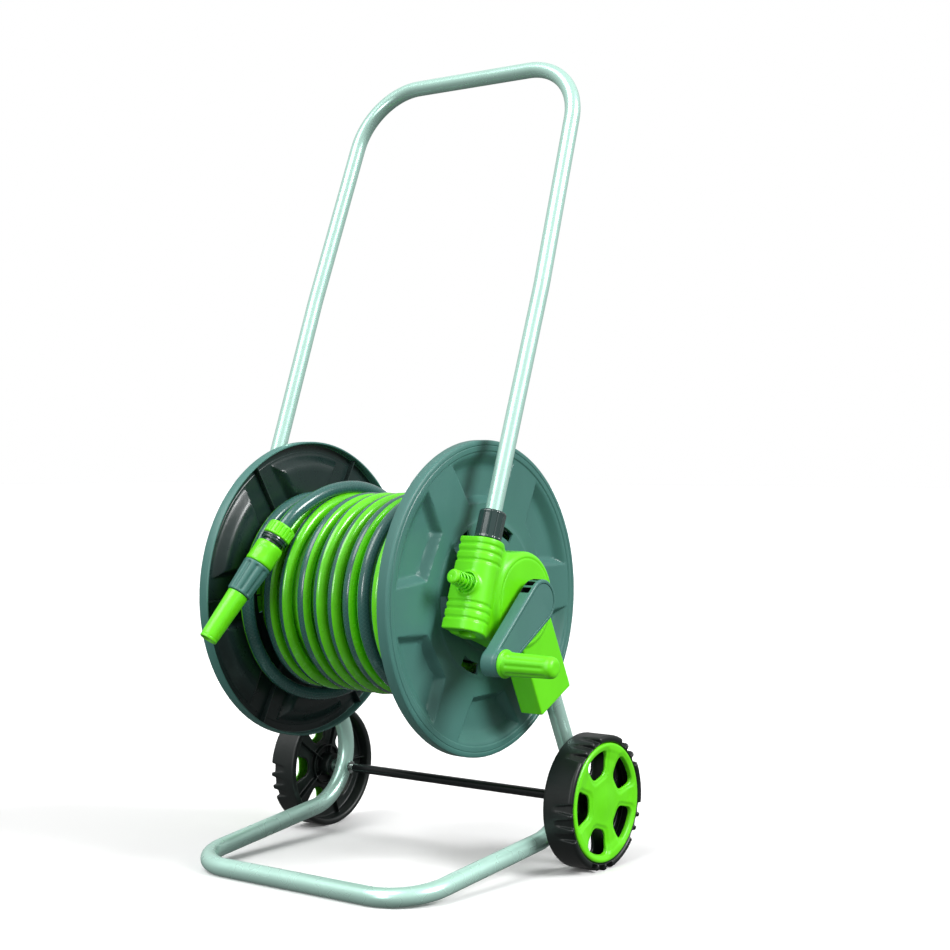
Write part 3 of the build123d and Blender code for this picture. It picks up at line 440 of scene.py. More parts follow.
def hose_material():
    """Two-tone hose: one half green and one half grey along its length, clear coat, and fine braid below."""
    material, nodes, links, shader = node_material("two_tone_hose")
    lay = nodes.new("ShaderNodeAttribute")
    lay.attribute_name = "lay"
    parts = nodes.new("ShaderNodeSeparateXYZ")
    links.new(lay.outputs["Vector"], parts.inputs["Vector"])
    stripe = nodes.new("ShaderNodeMapRange")
    stripe.inputs["From Min"].default_value = -0.03
    stripe.inputs["From Max"].default_value = 0.03
    links.new(parts.outputs["X"], stripe.inputs["Value"])
    slow = noise(nodes, links, 30.0, 3.0)
    mild = spread(nodes, links, slow.outputs["Fac"], 0, 1)
    green = two_colours(nodes, links, mild, (0.12, 0.66, 0.006), (0.15, 0.78, 0.010))
    # Braid: two crossed sets of threads that show faintly through the grey half
    angle = nodes.new("ShaderNodeMath")
    angle.operation = "ARCTAN2"
    links.new(parts.outputs["Y"], angle.inputs[0])
    links.new(parts.outputs["X"], angle.inputs[1])
    threads = []
    for sign in (1, -1):
        run = nodes.new("ShaderNodeMath")
        run.operation = "MULTIPLY_ADD"
        run.inputs[1].default_value = sign * 8.0
        links.new(angle.outputs[0], run.inputs[0])
        along = nodes.new("ShaderNodeMath")
        along.operation = "MULTIPLY"
        along.inputs[1].default_value = 1300.0
        links.new(parts.outputs["Z"], along.inputs[0])
        links.new(along.outputs[0], run.inputs[2])
        wave = nodes.new("ShaderNodeMath")
        wave.operation = "SINE"
        links.new(run.outputs[0], wave.inputs[0])
        threads.append(wave.outputs[0])
    braid = nodes.new("ShaderNodeMath")
    braid.operation = "MAXIMUM"
    links.new(threads[0], braid.inputs[0])
    links.new(threads[1], braid.inputs[1])
    shown = nodes.new("ShaderNodeMapRange")
    shown.inputs["From Min"].default_value = 0.6
    shown.inputs["From Max"].default_value = 1.0
    shown.inputs["To Max"].default_value = 0.5
    links.new(braid.outputs[0], shown.inputs["Value"])
    dull = two_colours(nodes, links, shown.outputs["Result"], (0.030, 0.115, 0.102), (0.060, 0.17, 0.15))
    mix = nodes.new("ShaderNodeMix")
    mix.data_type = "RGBA"
    links.new(stripe.outputs["Result"], mix.inputs["Factor"])
    links.new(dull, mix.inputs["A"])
    links.new(green, mix.inputs["B"])
    links.new(mix.outputs["Result"], shader.inputs["Base Color"])
    links.new(bumped(nodes, links, braid.outputs[0], 0.10, 0.0002), shader.inputs["Normal"])
    gloss = noise(nodes, links, 90.0, 4.0)
    links.new(spread(nodes, links, gloss.outputs["Fac"], 0.20, 0.30), shader.inputs["Roughness"])
    shader.inputs["Coat Weight"].default_value = 0.5
    shader.inputs["Coat Roughness"].default_value = 0.12
    return material


def green_face(turned):
    """The green half's direction at a winding angle, which changes only behind the reel."""
    place = (turned - OUTER_START - 90.0) / 360.0
    if place < 0:
        return 40.0 * math.sin(place * 2.3)
    turn = min(int(place), len(GREEN_FACES) - 1)
    here = GREEN_FACES[turn]
    after = GREEN_FACES[min(turn + 1, len(GREEN_FACES) - 1)]
    return here + (after - here) * float(smooth_step(place - turn, 0.72, 1.0))


def make_hose():
    """A tube swept along the route. Each point keeps its place round the green half and along the hose."""
    path = spline_path(hose_points(), 4)
    sides = 20
    axis_point = Vector((0, 0, REEL_Z * MM))
    verts, lays = [], []
    length, turned, before = 0.0, 0.0, None
    for k, point in enumerate(path):
        ahead = path[min(k + 1, len(path) - 1)]
        behind = path[max(k - 1, 0)]
        tangent = (ahead - behind).normalized()
        outward = point - axis_point
        outward.x = 0
        bearing = math.degrees(math.atan2(-outward.y, outward.z))
        if before is not None:
            turned += (bearing - before + 180.0) % 360.0 - 180.0
            length += (point - behind).length
        before = bearing
        outward = (outward - tangent * outward.dot(tangent)).normalized()
        side = outward.cross(tangent)
        face = math.radians(green_face(turned))
        for j in range(sides):
            angle = 2 * math.pi * j / sides
            verts.append(point + (outward * math.cos(angle) + side * math.sin(angle)) * (HOSE_D / 2 * MM))
            lays.append((math.cos(angle - face), math.sin(angle - face), length))
    rows = len(path)
    faces = []
    for k in range(rows - 1):
        for j in range(sides):
            a, b = k * sides + j, k * sides + (j + 1) % sides
            faces.append((a, b, b + sides, a + sides))
    faces.append(tuple(range(sides - 1, -1, -1)))
    faces.append(tuple(range((rows - 1) * sides, rows * sides)))
    mesh = bpy.data.meshes.new("garden_hose")
    mesh.from_pydata(verts, [], faces)
    mesh.shade_smooth()
    lay = mesh.attributes.new("lay", "FLOAT_VECTOR", "POINT")
    lay.data.foreach_set("vector", [c for item in lays for c in item])
    mesh.materials.append(hose_material())
    hose = bpy.data.objects.new("garden_hose", mesh)
    bpy.context.scene.collection.objects.link(hose)
    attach(hose, "reel")
    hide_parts("hose_pack", "hose_tail")
    return hose, path


hose, hose_path = make_hose()


# Shapes from distance fields: smooth joins and rounded edges, as on moulded parts
def field_solid(name, low, high, voxel, distance, sign, body, material, nodes, sharp=50.0):
    """Meshes where a distance field is zero. Its points count from the mid-plane, and from the ground."""
    axes = [np.arange(low[k], high[k] + voxel, voxel, dtype=np.float32) for k in range(3)]
    x, y, z = np.meshgrid(*axes, indexing="ij", sparse=True)
    field = np.broadcast_to(distance(x, y, z), [len(a) for a in axes])
    grid = openvdb.FloatGrid(background=3.0 * voxel)
    grid.copyFromArray(np.clip(field, -3.0 * voxel, 3.0 * voxel).astype(np.float32))
    points, quads = grid.convertToQuads(isovalue=0.0)
    points = np.asarray(points, float) * voxel + np.array(low)
    points[:, 0] = MID_X + sign * points[:, 0]
    quads = np.asarray(quads)
    mesh = bpy.data.meshes.new(name)
    mesh.from_pydata((points * MM).tolist(), [], quads.tolist())
    work = bmesh.new()
    work.from_mesh(mesh)
    bmesh.ops.smooth_vert(
        work, verts=work.verts, factor=0.5, use_axis_x=True, use_axis_y=True, use_axis_z=True
    )
    bmesh.ops.recalc_face_normals(work, faces=work.faces)
    work.to_mesh(mesh)
    work.free()
    mesh.shade_smooth()
    mesh.set_sharp_from_angle(angle=math.radians(sharp))
    mesh.materials.append(material)
    obj = bpy.data.objects.new(name, mesh)
    bpy.context.scene.collection.objects.link(obj)
    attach(obj, body)
    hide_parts(*nodes)
    return obj


def join(a, b, soft):
    """The union of two fields, blended over a width."""
    h = np.clip(0.5 + 0.5 * (b - a) / soft, 0.0, 1.0)
    return b + (a - b) * h - soft * h * (1.0 - h)


def cut(a, b, soft=0.5):
    """The first field without the second."""
    return -join(-a, b, soft)


def common(a, b, soft=0.5):
    """Where both fields are solid."""
    return -join(-a, -b, soft)


def slab(flat, along, middle, half, edge):
    """A flat outline's field made into a solid, with rounded edges."""
    u = flat + edge
    v = np.abs(along - middle) - half + edge
    return np.minimum(np.maximum(u, v), 0) + np.hypot(np.maximum(u, 0), np.maximum(v, 0)) - edge


def rectangle(u, v, half_u, half_v, corner=0.0):
    """The distance to a rectangle round the origin, negative inside."""
    a = np.abs(u) - half_u + corner
    b = np.abs(v) - half_v + corner
    return np.minimum(np.maximum(a, b), 0) + np.hypot(np.maximum(a, 0), np.maximum(b, 0)) - corner


def polygon(u, v, points):
    """The distance to a closed outline, negative inside."""
    best = np.full(np.broadcast_shapes(u.shape, v.shape), 1e9, np.float32)
    inside = np.zeros(best.shape, bool)
    for (ax, ay), (bx, by) in zip(points, points[1:] + points[:1]):
        ex, ey = bx - ax, by - ay
        t = np.clip(((u - ax) * ex + (v - ay) * ey) / (ex * ex + ey * ey), 0, 1)
        best = np.minimum(best, np.hypot(u - ax - t * ex, v - ay - t * ey))
        crosses = ((v >= ay) != (v >= by)) & (u < (bx - ax) * (v - ay) / (by - ay + 1e-12) + ax)
        inside ^= crosses
    return np.where(inside, -best, best)


def bracket_field(x, y, z):
    """A bracket, with s along the handle's slope, n in front of it, t and v along the base tube's slope."""
    z = z - REEL_Z
    s = y * math.sin(HANDLE_TILT) + z * math.cos(HANDLE_TILT)
    n = z * math.sin(HANDLE_TILT) - y * math.cos(HANDLE_TILT)
    across = x - STEM_X
    front = n - HANDLE_N
    # Handle socket with its grooves
    outline = np.minimum(np.hypot(across, front) - 20.5, rectangle(across + 12.0, front, 12.0, 20.5))
    socket = slab(outline, s, -5.5, 55.5, 1.6)
    for level in (41.5, 33.0, 22.0, -28.0, -36.5, -47.0):
        socket = cut(socket, np.maximum(-outline - 1.1, np.abs(s - level) - 1.5), 1.2)
    # Bearing housing, with a seam round its outer face, and the web that flows into it
    reach = np.hypot(y, z)
    hub = slab(reach - 58.0, x, 183.5, 20.5, 7.0)
    web_edge = [(-61, 72), (48, 72), (48, 52), (46, 44), (46.5, 30), (0, 0), (-61, -18)]
    web = slab(polygon(s, n, web_edge), x, 179.5, 16.5, 4.0)
    body = join(join(socket, web, 10.0), hub, 9.0)
    body = cut(body, np.hypot(reach - 50.0, x - 204.3) - 1.1, 0.6)
    # Block round the base tube
    lean = math.radians(26.0)
    t = y * math.cos(lean) + z * math.sin(lean)
    v = y * math.sin(lean) - z * math.cos(lean)
    block = slab(rectangle(t - 7.5, v - 77.0, 34.0, 67.0, 2.0), x, 184.75, 15.75, 1.4)
    body = join(body, block, 2.0)
    # Boss round the lock pin
    pin = np.hypot(across, s - PIN_S)
    body = join(body, slab(pin - 14.2, n, 88.0, 6.5, 1.6), 3.0)
    body = join(body, slab(np.hypot(across, front) - 13.0, s, 55.5, 6.5, 0.5), 0.3)
    # Bores and hollows
    body = cut(body, np.hypot(across, front) - 10.1)
    body = cut(body, np.maximum(pin - 4.1, 72.0 - n))
    body = cut(body, slab(np.abs(pin - 9.0) - 3.4, n, 96.0, 5.5, 0.4))
    hollow = slab(reach - 52.5, x, 180.0, 20.0, 1.0)
    body = cut(body, cut(hollow, reach - 18.0))
    body = cut(body, reach - 14.0)
    tube_t = 20.3
    foot = np.hypot(x - 185.0, t - tube_t) - 11.1
    body = cut(body, np.maximum(foot, 75.0 - v))
    for level in (88.0, 122.0):
        body = cut(body, np.maximum(np.hypot(t - tube_t, v - level) - 2.1, x - 196.0), 0.2)
    return body


def arm_flat(y, z):
    """The crank arm's outline: a large circle at the shaft, a small one at the grip, and straight sides."""
    uy, uz = math.cos(GRIP_ANGLE), math.sin(GRIP_ANGLE)
    far, big, small = GRIP_REACH, 26.0, 15.5
    along = y * uy + z * uz
    aside = np.abs(y * uz - z * uy)
    lean = (big - small) / far
    straight = math.sqrt(1 - lean * lean)
    k = along * straight - aside * lean
    sides = aside * straight + along * lean - big
    return np.where(
        k < 0,
        np.hypot(aside, along) - big,
        np.where(k > straight * far, np.hypot(aside, along - far) - small, sides),
    )


def arm_slots(x, y, z):
    """Three deep slots side by side in the edge of the arm's shaft end."""
    for angle in (97.0, 122.0, 147.0):
        turn = math.radians(angle)
        aside = -y * math.sin(turn) + (z - REEL_Z) * math.cos(turn)
        out = y * math.cos(turn) + (z - REEL_Z) * math.sin(turn)
        yield np.maximum(rectangle(x - 218.7, aside, 6.0, 3.7, 0.6), 13.0 - out)


def arm_field(x, y, z):
    """The crank arm, with a raised rim, a boss at the grip, and an open back."""
    flat = arm_flat(y, z - REEL_Z)
    boss_r = np.hypot(y - GRIP_Y, z - GRIP_Z)
    hub_r = np.hypot(y, z - REEL_Z)
    body = slab(flat, x, 220.25, 8.75, 2.6)
    body = join(body, slab(boss_r - 15.4, x, 222.6, 11.3, 1.6), 1.5)
    recess = np.maximum(flat + 4.6, 18.6 - boss_r)
    body = cut(body, np.maximum(recess, 227.4 - x), 0.8)
    # Open back
    back = np.maximum(np.maximum(flat + 3.0, 24.5 - hub_r), 15.0 - boss_r)
    body = cut(body, np.maximum(back, x - 224.0), 0.8)
    for hole in arm_slots(x, y, z):
        body = cut(body, hole, 0.4)
    body = cut(body, np.maximum(rectangle(y, z - REEL_Z, 7.1, 7.1), x - 222.7), 0.3)
    body = cut(body, np.maximum(hub_r - 5.5, 224.0 - x), 0.4)
    body = cut(body, hub_r - 2.6, 0.3)
    return cut(body, boss_r - 3.3, 0.3)


def wheel_turn(y, z):
    """The angle from the middle of the nearest opening. One of them faces the front."""
    return (np.arctan2(z, y) - math.radians(180.0) + FIFTH / 2) % FIFTH - FIFTH / 2


def wheel_field(x, y, z):
    """A wheel's tyre and body, open between its spokes."""
    y, z = y - AXLE_Y, z - AXLE_Z
    r = np.hypot(y, z)
    # Tyre with rounded shoulders, web, and hub
    body = slab(np.abs(r - 78.0) - 4.5, x, 222.5, 20.5, 3.8)
    body = join(body, slab(r - 76.0, x, WHEEL_INNER + 18.2, 1.9, 0.6), 2.0)
    body = join(body, np.maximum(np.abs(r - 72.5) - 1.6, np.abs(x - 228.5) - 9.0), 0.8)
    turn = wheel_turn(y, z)
    u, w = r * np.cos(turn), np.abs(r * np.sin(turn))
    opening = common(common(r - 62.0, 33.0 - u, 6.0), (w - 9.0) * 0.93 - (u - 33.0) * 0.37, 7.0)
    body = cut(body, opening, 2.0)
    body = join(body, slab(r - 15.5, x, 216.0, 15.0, 1.0), 2.0)
    body = join(body, np.maximum(np.abs(r - 26.0) - 1.0, np.abs(x - 217.0) - 4.0), 1.0)
    for k in range(SPOKES):
        spoke = math.radians(180.0 + 36.0 + 72.0 * k)
        off = np.abs(-y * math.sin(spoke) + z * math.cos(spoke))
        out = y * math.cos(spoke) + z * math.sin(spoke)
        fin = np.maximum(np.maximum(off - 0.9, np.abs(out - 44.0) - 30.0), np.abs(x - 215.5) - 4.0)
        body = join(body, fin, 1.0)
    # Tread notches in threes, deepest and widest at the outer shoulder
    for k in range(SPOKES):
        for step in (-12.5, 0.0, 12.5):
            place = math.radians(190.0 + 72.0 * k + step)
            off = -y * math.sin(place) + z * math.cos(place)
            out = y * math.cos(place) + z * math.sin(place)
            run = np.clip((WHEEL_OUTER - x) / 24.0, 0, 1.2)
            width = 6.4 * (1.0 - 0.6 * run)
            depth = 7.5 * (1.0 - run)
            notch = np.maximum(np.abs(off) - width, WHEEL_R - depth - out)
            body = cut(body, np.maximum(notch, -out), 1.6)
    return cut(body, r - 4.1, 0.3)


def cap_field(x, y, z):
    """A wheel's green face, with five rounded openings."""
    y, z = y - AXLE_Y, z - AXLE_Z
    r = np.hypot(y, z)
    turn = wheel_turn(y, z)
    u, w = r * np.cos(turn), np.abs(r * np.sin(turn))
    # The face dips round each opening and domes towards the rim
    side = (w - 14.0) * 0.93 - (u - 33.0) * 0.37
    near = common(common(r - 64.5, side, 9.0), 31.5 - u, 8.0)
    face = 241.6 + 1.4 * smooth_step(r, 60.0, 66.0) * smooth_step(73.5 - r, 0.0, 4.0)
    face = face - 1.8 * smooth_step(r, 4.0, 26.0) * (1.0 - smooth_step(r, 50.0, 62.0))
    face = face - 1.6 * (1.0 - smooth_step(near, 0.5, 5.5))
    plate = slab(r - 72.9, x, 239.0, 4.0, 2.6)
    plate = common(plate, x - face, 1.0)
    # Five rounded openings with deep sloping walls
    gap = near + (WHEEL_OUTER - x) * 0.22
    walls = slab(np.abs(gap + 0.9) - 1.2, x, 236.0, 6.5, 0.4)
    walls = common(walls, x - face, 0.8)
    body = join(plate, common(walls, r - 71.5, 0.5), 1.0)
    body = cut(body, gap, 1.6)
    # Closed hub with a shallow step round it
    boss = slab(np.abs(r - 13.5) - 1.5, x, 235.0, 4.0, 0.4)
    body = join(body, boss, 0.8)
    body = cut(body, np.hypot(r - 11.5, x - 242.2) - 0.55, 0.4)
    body = cut(body, slab(r - 10.0, x, 231.5, 6.0, 0.4), 0.3)
    return body


def make_moulded_parts():
    """Brackets, wheels and their faces on both sides, and the crank arm."""
    for side, sign in SIDES:
        field_solid(
            f"{side}_bearing_bracket", (158, -113, REEL_Z - 146), (206, 103, REEL_Z + 91), 0.95,
            bracket_field, sign, "frame", lime, [f"{side}_bracket"],
        )
        field_solid(
            f"{side}_wheel_tyre", (199, AXLE_Y - 85, AXLE_Z - 85), (246, AXLE_Y + 85, AXLE_Z + 85), 0.95,
            wheel_field, sign, f"{side}_wheel", tyre_black, [f"{side}_wheel"],
        )
        field_solid(
            f"{side}_wheel_face", (227, AXLE_Y - 75, AXLE_Z - 75), (246, AXLE_Y + 75, AXLE_Z + 75), 0.7,
            cap_field, sign, f"{side}_wheel", lime, [f"{side}_wheel_cap"],
        )
    lever = field_solid(
        "crank_lever", (209, -106, REEL_Z - 84), (236, 29, REEL_Z + 29), 0.6, arm_field, 1, "reel",
        grey, ["crank_arm"],
    )
    # The slots' faces get the black material: painted shade deep in the holes
    lever.data.materials.append(black)
    for face in lever.data.polygons:
        middle = face.center / MM
        if min(float(hole) for hole in arm_slots(middle.x - MID_X, middle.y, middle.z)) < 0.45:
            face.material_index = 1


make_moulded_parts()


# The reel's discs
def pocket_depth(r, degrees):
    """How deep the six recesses are at a place on the disc."""
    turn = math.radians((degrees - 92.0 + 30.0) % 60.0 - 30.0)
    u, w = r * math.cos(turn), abs(r * math.sin(turn))
    outside = max(0.6 * (r - 173.5), 115.0 - u, 0.828 * (w - 32.0) - 0.561 * (u - 116.0))
    ramp = min(max(-outside / 8.5, 0.0), 1.0)
    return 10.5 * (ramp * 0.82 + 0.18 * ramp * ramp * (3 - 2 * ramp))


def disc_rise(r):
    """The outer face's steps: a raised rim band with two fine lines, and a low ring round the hub."""
    rise = -1.2 + 1.3 * float(smooth_step(r, 176.0, 178.0))
    rise -= 0.7 * math.exp(-(((r - 183.6) / 0.55) ** 2))
    rise += 0.9 * float(smooth_step(r, 97.0, 94.5))
    rise -= 0.6 * math.exp(-(((r - 62.0) / 0.6) ** 2))
    return rise


def make_disc(side, sign):
    """A reel disc: outer and inner faces from rings of points, a rolled rim, and ribs on the inner face."""
    wall = 2.6
    radii = [24.0, 26.0, 40.0, 55.0, 60.8, 61.6, 62.0, 62.4, 63.2, 70.0, 78.5, 85.0, 92.0, 94.5, 95.8]
    radii += [97.0, 102.0, 108.0, 112.0] + [113.5 + 1.5 * k for k in range(8)]
    radii += [128.0 + 6.0 * k for k in range(6)]
    radii += [161.5 + 1.5 * k for k in range(8)] + [174.5, 176.0, 176.8, 177.6, 178.6, 181.0, 182.6, 183.2]
    radii += [183.6, 184.0, 184.6, 186.2]
    segments = 720
    outer, inner = [], []
    for r in radii:
        for k in range(segments):
            degrees = 360.0 * k / segments
            angle = math.radians(degrees)
            drop = pocket_depth(r, degrees)
            x = DISC_X - 0.2 + disc_rise(r) - drop
            y, z = r * math.cos(angle), REEL_Z + r * math.sin(angle)
            outer.append(at(sign * x, y, z))
            inner.append(at(sign * (min(x, DISC_X - 0.9 - drop) - wall), y, z))
    rows = len(radii)
    rim = [(147.6, 187.8), (146.9, 189.2), (145.6, 190.0), (134.4, 190.0), (133.2, 189.4), (133.0, 188.6)]
    rim += [(133.2, 187.8), (134.2, 187.2), (143.6, 187.0), (144.4, 186.4)]
    verts = outer + inner
    loops = []
    for x, r in rim:
        loops.append(len(verts))
        for k in range(segments):
            angle = 2 * math.pi * k / segments
            verts.append(at(sign * x, r * math.cos(angle), REEL_Z + r * math.sin(angle)))
    # Small windows near the hub, and the inner faces that get the darker material as painted shade
    opening, inside = set(), []
    for i in range(rows - 1):
        for k in range(segments):
            turn = (360.0 * (k + 0.5) / segments - 6.0 + 30.0) % 60.0 - 30.0
            if radii[i] >= 78.5 and radii[i + 1] <= 92.0 and abs(turn) < 11.0:
                opening.add((i, k))
    faces = []
    base = rows * segments
    for i in range(rows - 1):
        for k in range(segments):
            k2 = (k + 1) % segments
            a, b, c, d = i * segments + k, i * segments + k2, (i + 1) * segments + k2, (i + 1) * segments + k
            if (i, k) in opening:
                sides = (((i - 1, k), a, b), ((i + 1, k), d, c), ((i, k - 1), a, d), ((i, k2), b, c))
                for near, p, q in sides:
                    if near not in opening:
                        faces.append((p, q, q + base, p + base))
                continue
            faces.append((a, b, c, d))
            inside.append(len(faces))
            faces.append((a + base, d + base, c + base, b + base))
    chain = [(rows - 1) * segments, *loops, base + (rows - 1) * segments]
    for first, second in [*zip(chain, chain[1:]), (0, base)]:
        for k in range(segments):
            k2 = (k + 1) % segments
            faces.append((first + k, first + k2, second + k2, second + k))
    # Radial ribs on the inner side, between the recesses
    first_rib_face = len(faces)
    for k in range(6):
        angle = math.radians(122.0 + 60.0 * k)
        out = Vector((0, math.cos(angle), math.sin(angle)))
        aside = Vector((0, -math.sin(angle), math.cos(angle)))
        start = len(verts)
        for r, low in ((89.0, 144.0), (92.0, 138.6), (184.0, 137.4), (187.2, 137.0)):
            for x, half in ((144.9, 1.2), (low, 0.8)):
                for way in (-1, 1):
                    verts.append(at(sign * x, 0, REEL_Z) + out * r + aside * half * way)
        for row in range(3):
            a = start + 4 * row
            for p, q in ((0, 1), (1, 3), (3, 2), (2, 0)):
                faces.append((a + p, a + q, a + q + 4, a + p + 4))
        faces.append((start, start + 1, start + 3, start + 2))
        faces.append((start + 12, start + 13, start + 15, start + 14))
    inside += range(first_rib_face, len(faces))
    disc = piece(f"{side}_reel_disc", verts, faces, "reel", grey, [f"{side}_flange"], 28.0)
    # The inner faces and ribs get a darker teal: painted shade, not the plastic's own colour
    disc.data.materials.append(painted_shade_grey)
    for index in inside:
        disc.data.polygons[index].material_index = 1


for side_name, side_sign in SIDES:
    make_disc(side_name, side_sign)


# Handle collars, lock pins and their springs
def flute(count, depth, low, high, from_r, power=1.0):
    """A shape for lathe that carves flutes into the outside between two places."""

    def shape(along, radius, angle):
        if radius < from_r:
            return along, radius
        fade = float(smooth_step(along, low, low + 2.5)) * float(smooth_step(along, high, high - 2.5))
        wave = (0.5 + 0.5 * math.cos(count * angle)) ** power
        return along, radius - depth * wave * fade

    return shape


def make_collars():
    """Collars with broad flats and a narrow groove at each corner."""
    profile = [(0.3, 13.1), (0.3, 15.4, 0.8), (1.6, 16.4, 0.8), (4.2, 16.4)]
    profile += [(6.0 + 3.0 * k, 16.4) for k in range(9)]
    profile += [(33.0, 16.4), (35.9, 14.9, 1.4), (35.9, 10.4, 0.8), (12.4, 10.4), (12.4, 13.1)]
    flats = 12

    def faceted(along, radius, angle):
        if radius < 14.0:
            return along, radius
        fade = float(smooth_step(along, 2.0, 4.5)) * float(smooth_step(along, 35.0, 32.0))
        off = (angle * flats / (2 * math.pi)) % 1.0 - 0.5
        flat = math.cos(math.pi / flats) / math.cos(2 * math.pi * off / flats)
        groove = 1.1 * math.exp(-(((0.5 - abs(off)) / 0.09) ** 2))
        return along, radius * (1 + (flat - 1) * fade) - groove * fade

    for side, sign in SIDES:
        verts, faces = lathe(
            rounded(profile, 0.5), on_handle(sign * STEM_X, 50.0), HANDLE_UP, X, 200, faceted
        )
        piece(f"{side}_clamp_collar", verts, faces, f"{side}_collar", charcoal,
              [f"{side}_collar"], 25.0)


def make_lock_pins():
    """Press buttons with their pins, each in a coil spring."""
    head = [(10.5, 0.0), (10.5, 4.0, 0.6), (45.6, 4.0), (45.6, 7.9, 0.8), (47.4, 8.6, 0.5), (48.8, 8.4, 1.0)]
    head += [(50.2, 6.4, 0.8), (50.4, 3.0, 1.0), (50.0, 0.0)]
    for side, sign in SIDES:
        origin = on_handle(sign * STEM_X, PIN_S)
        verts, faces = lathe(rounded(head, 0.3), origin, HANDLE_FRONT, X, 64)
        piece(f"{side}_lock_button", verts, faces, f"{side}_lock_pin", lime,
              [f"{side}_lock_pin"], 40.0)
        # A cone-shaped coil with flattened end turns
        steps, sides, turns = 260, 12, 4.6
        aside = HANDLE_FRONT.cross(X)
        loops = []
        for k in range(steps + 1):
            t = k / steps
            height = 21.2 + 23.2 * float(np.clip((t - 0.09) / 0.82, 0, 1))
            radius = 10.0 - 2.8 * t
            angle = 2 * math.pi * turns * t
            out = X * math.cos(angle) + aside * math.sin(angle)
            middle = origin + HANDLE_FRONT * height + out * radius
            loop = []
            for j in range(sides):
                turn = 2 * math.pi * j / sides
                loop.append(middle + (out * math.cos(turn) + HANDLE_FRONT * math.sin(turn)) * 1.1)
            loops.append(loop)
        verts, faces = loft(loops, closed=False, start=True, end=True)
        spring = piece(f"{side}_button_spring", verts, faces, "frame", lime,
                       [f"{side}_pin_spring"])
        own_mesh(spring)


make_collars()
make_lock_pins()


# Crank grip
def make_grip():
    """A fluted grip that turns on the crank pin."""
    origin = at(0, GRIP_Y, GRIP_Z)
    profile = [(234.4, 4.1), (234.4, 15.4, 0.6), (235.4, 16.5, 0.6), (237.6, 16.5, 0.6), (238.8, 15.2, 0.6)]
    profile += [(239.2, 13.9, 0.6), (242.0, 13.8)] + [(244.0 + 5.0 * k, 13.8 - 0.12 * k) for k in range(10)]
    profile += [(292.0, 12.8), (297.0, 12.6), (302.0, 11.8, 2.5), (305.0, 8.0, 3.0), (305.2, 0.0)]
    profile += [(300.0, 0.0), (300.0, 4.1)]
    verts, faces = lathe(rounded(profile, 0.4), origin, X, BACK, 160, flute(8, 1.1, 242.5, 297.0, 12.0, 2.0))
    piece("crank_handle_grip", verts, faces, "crank_grip", lime_matt, ["crank_grip"], 40.0)


make_grip()


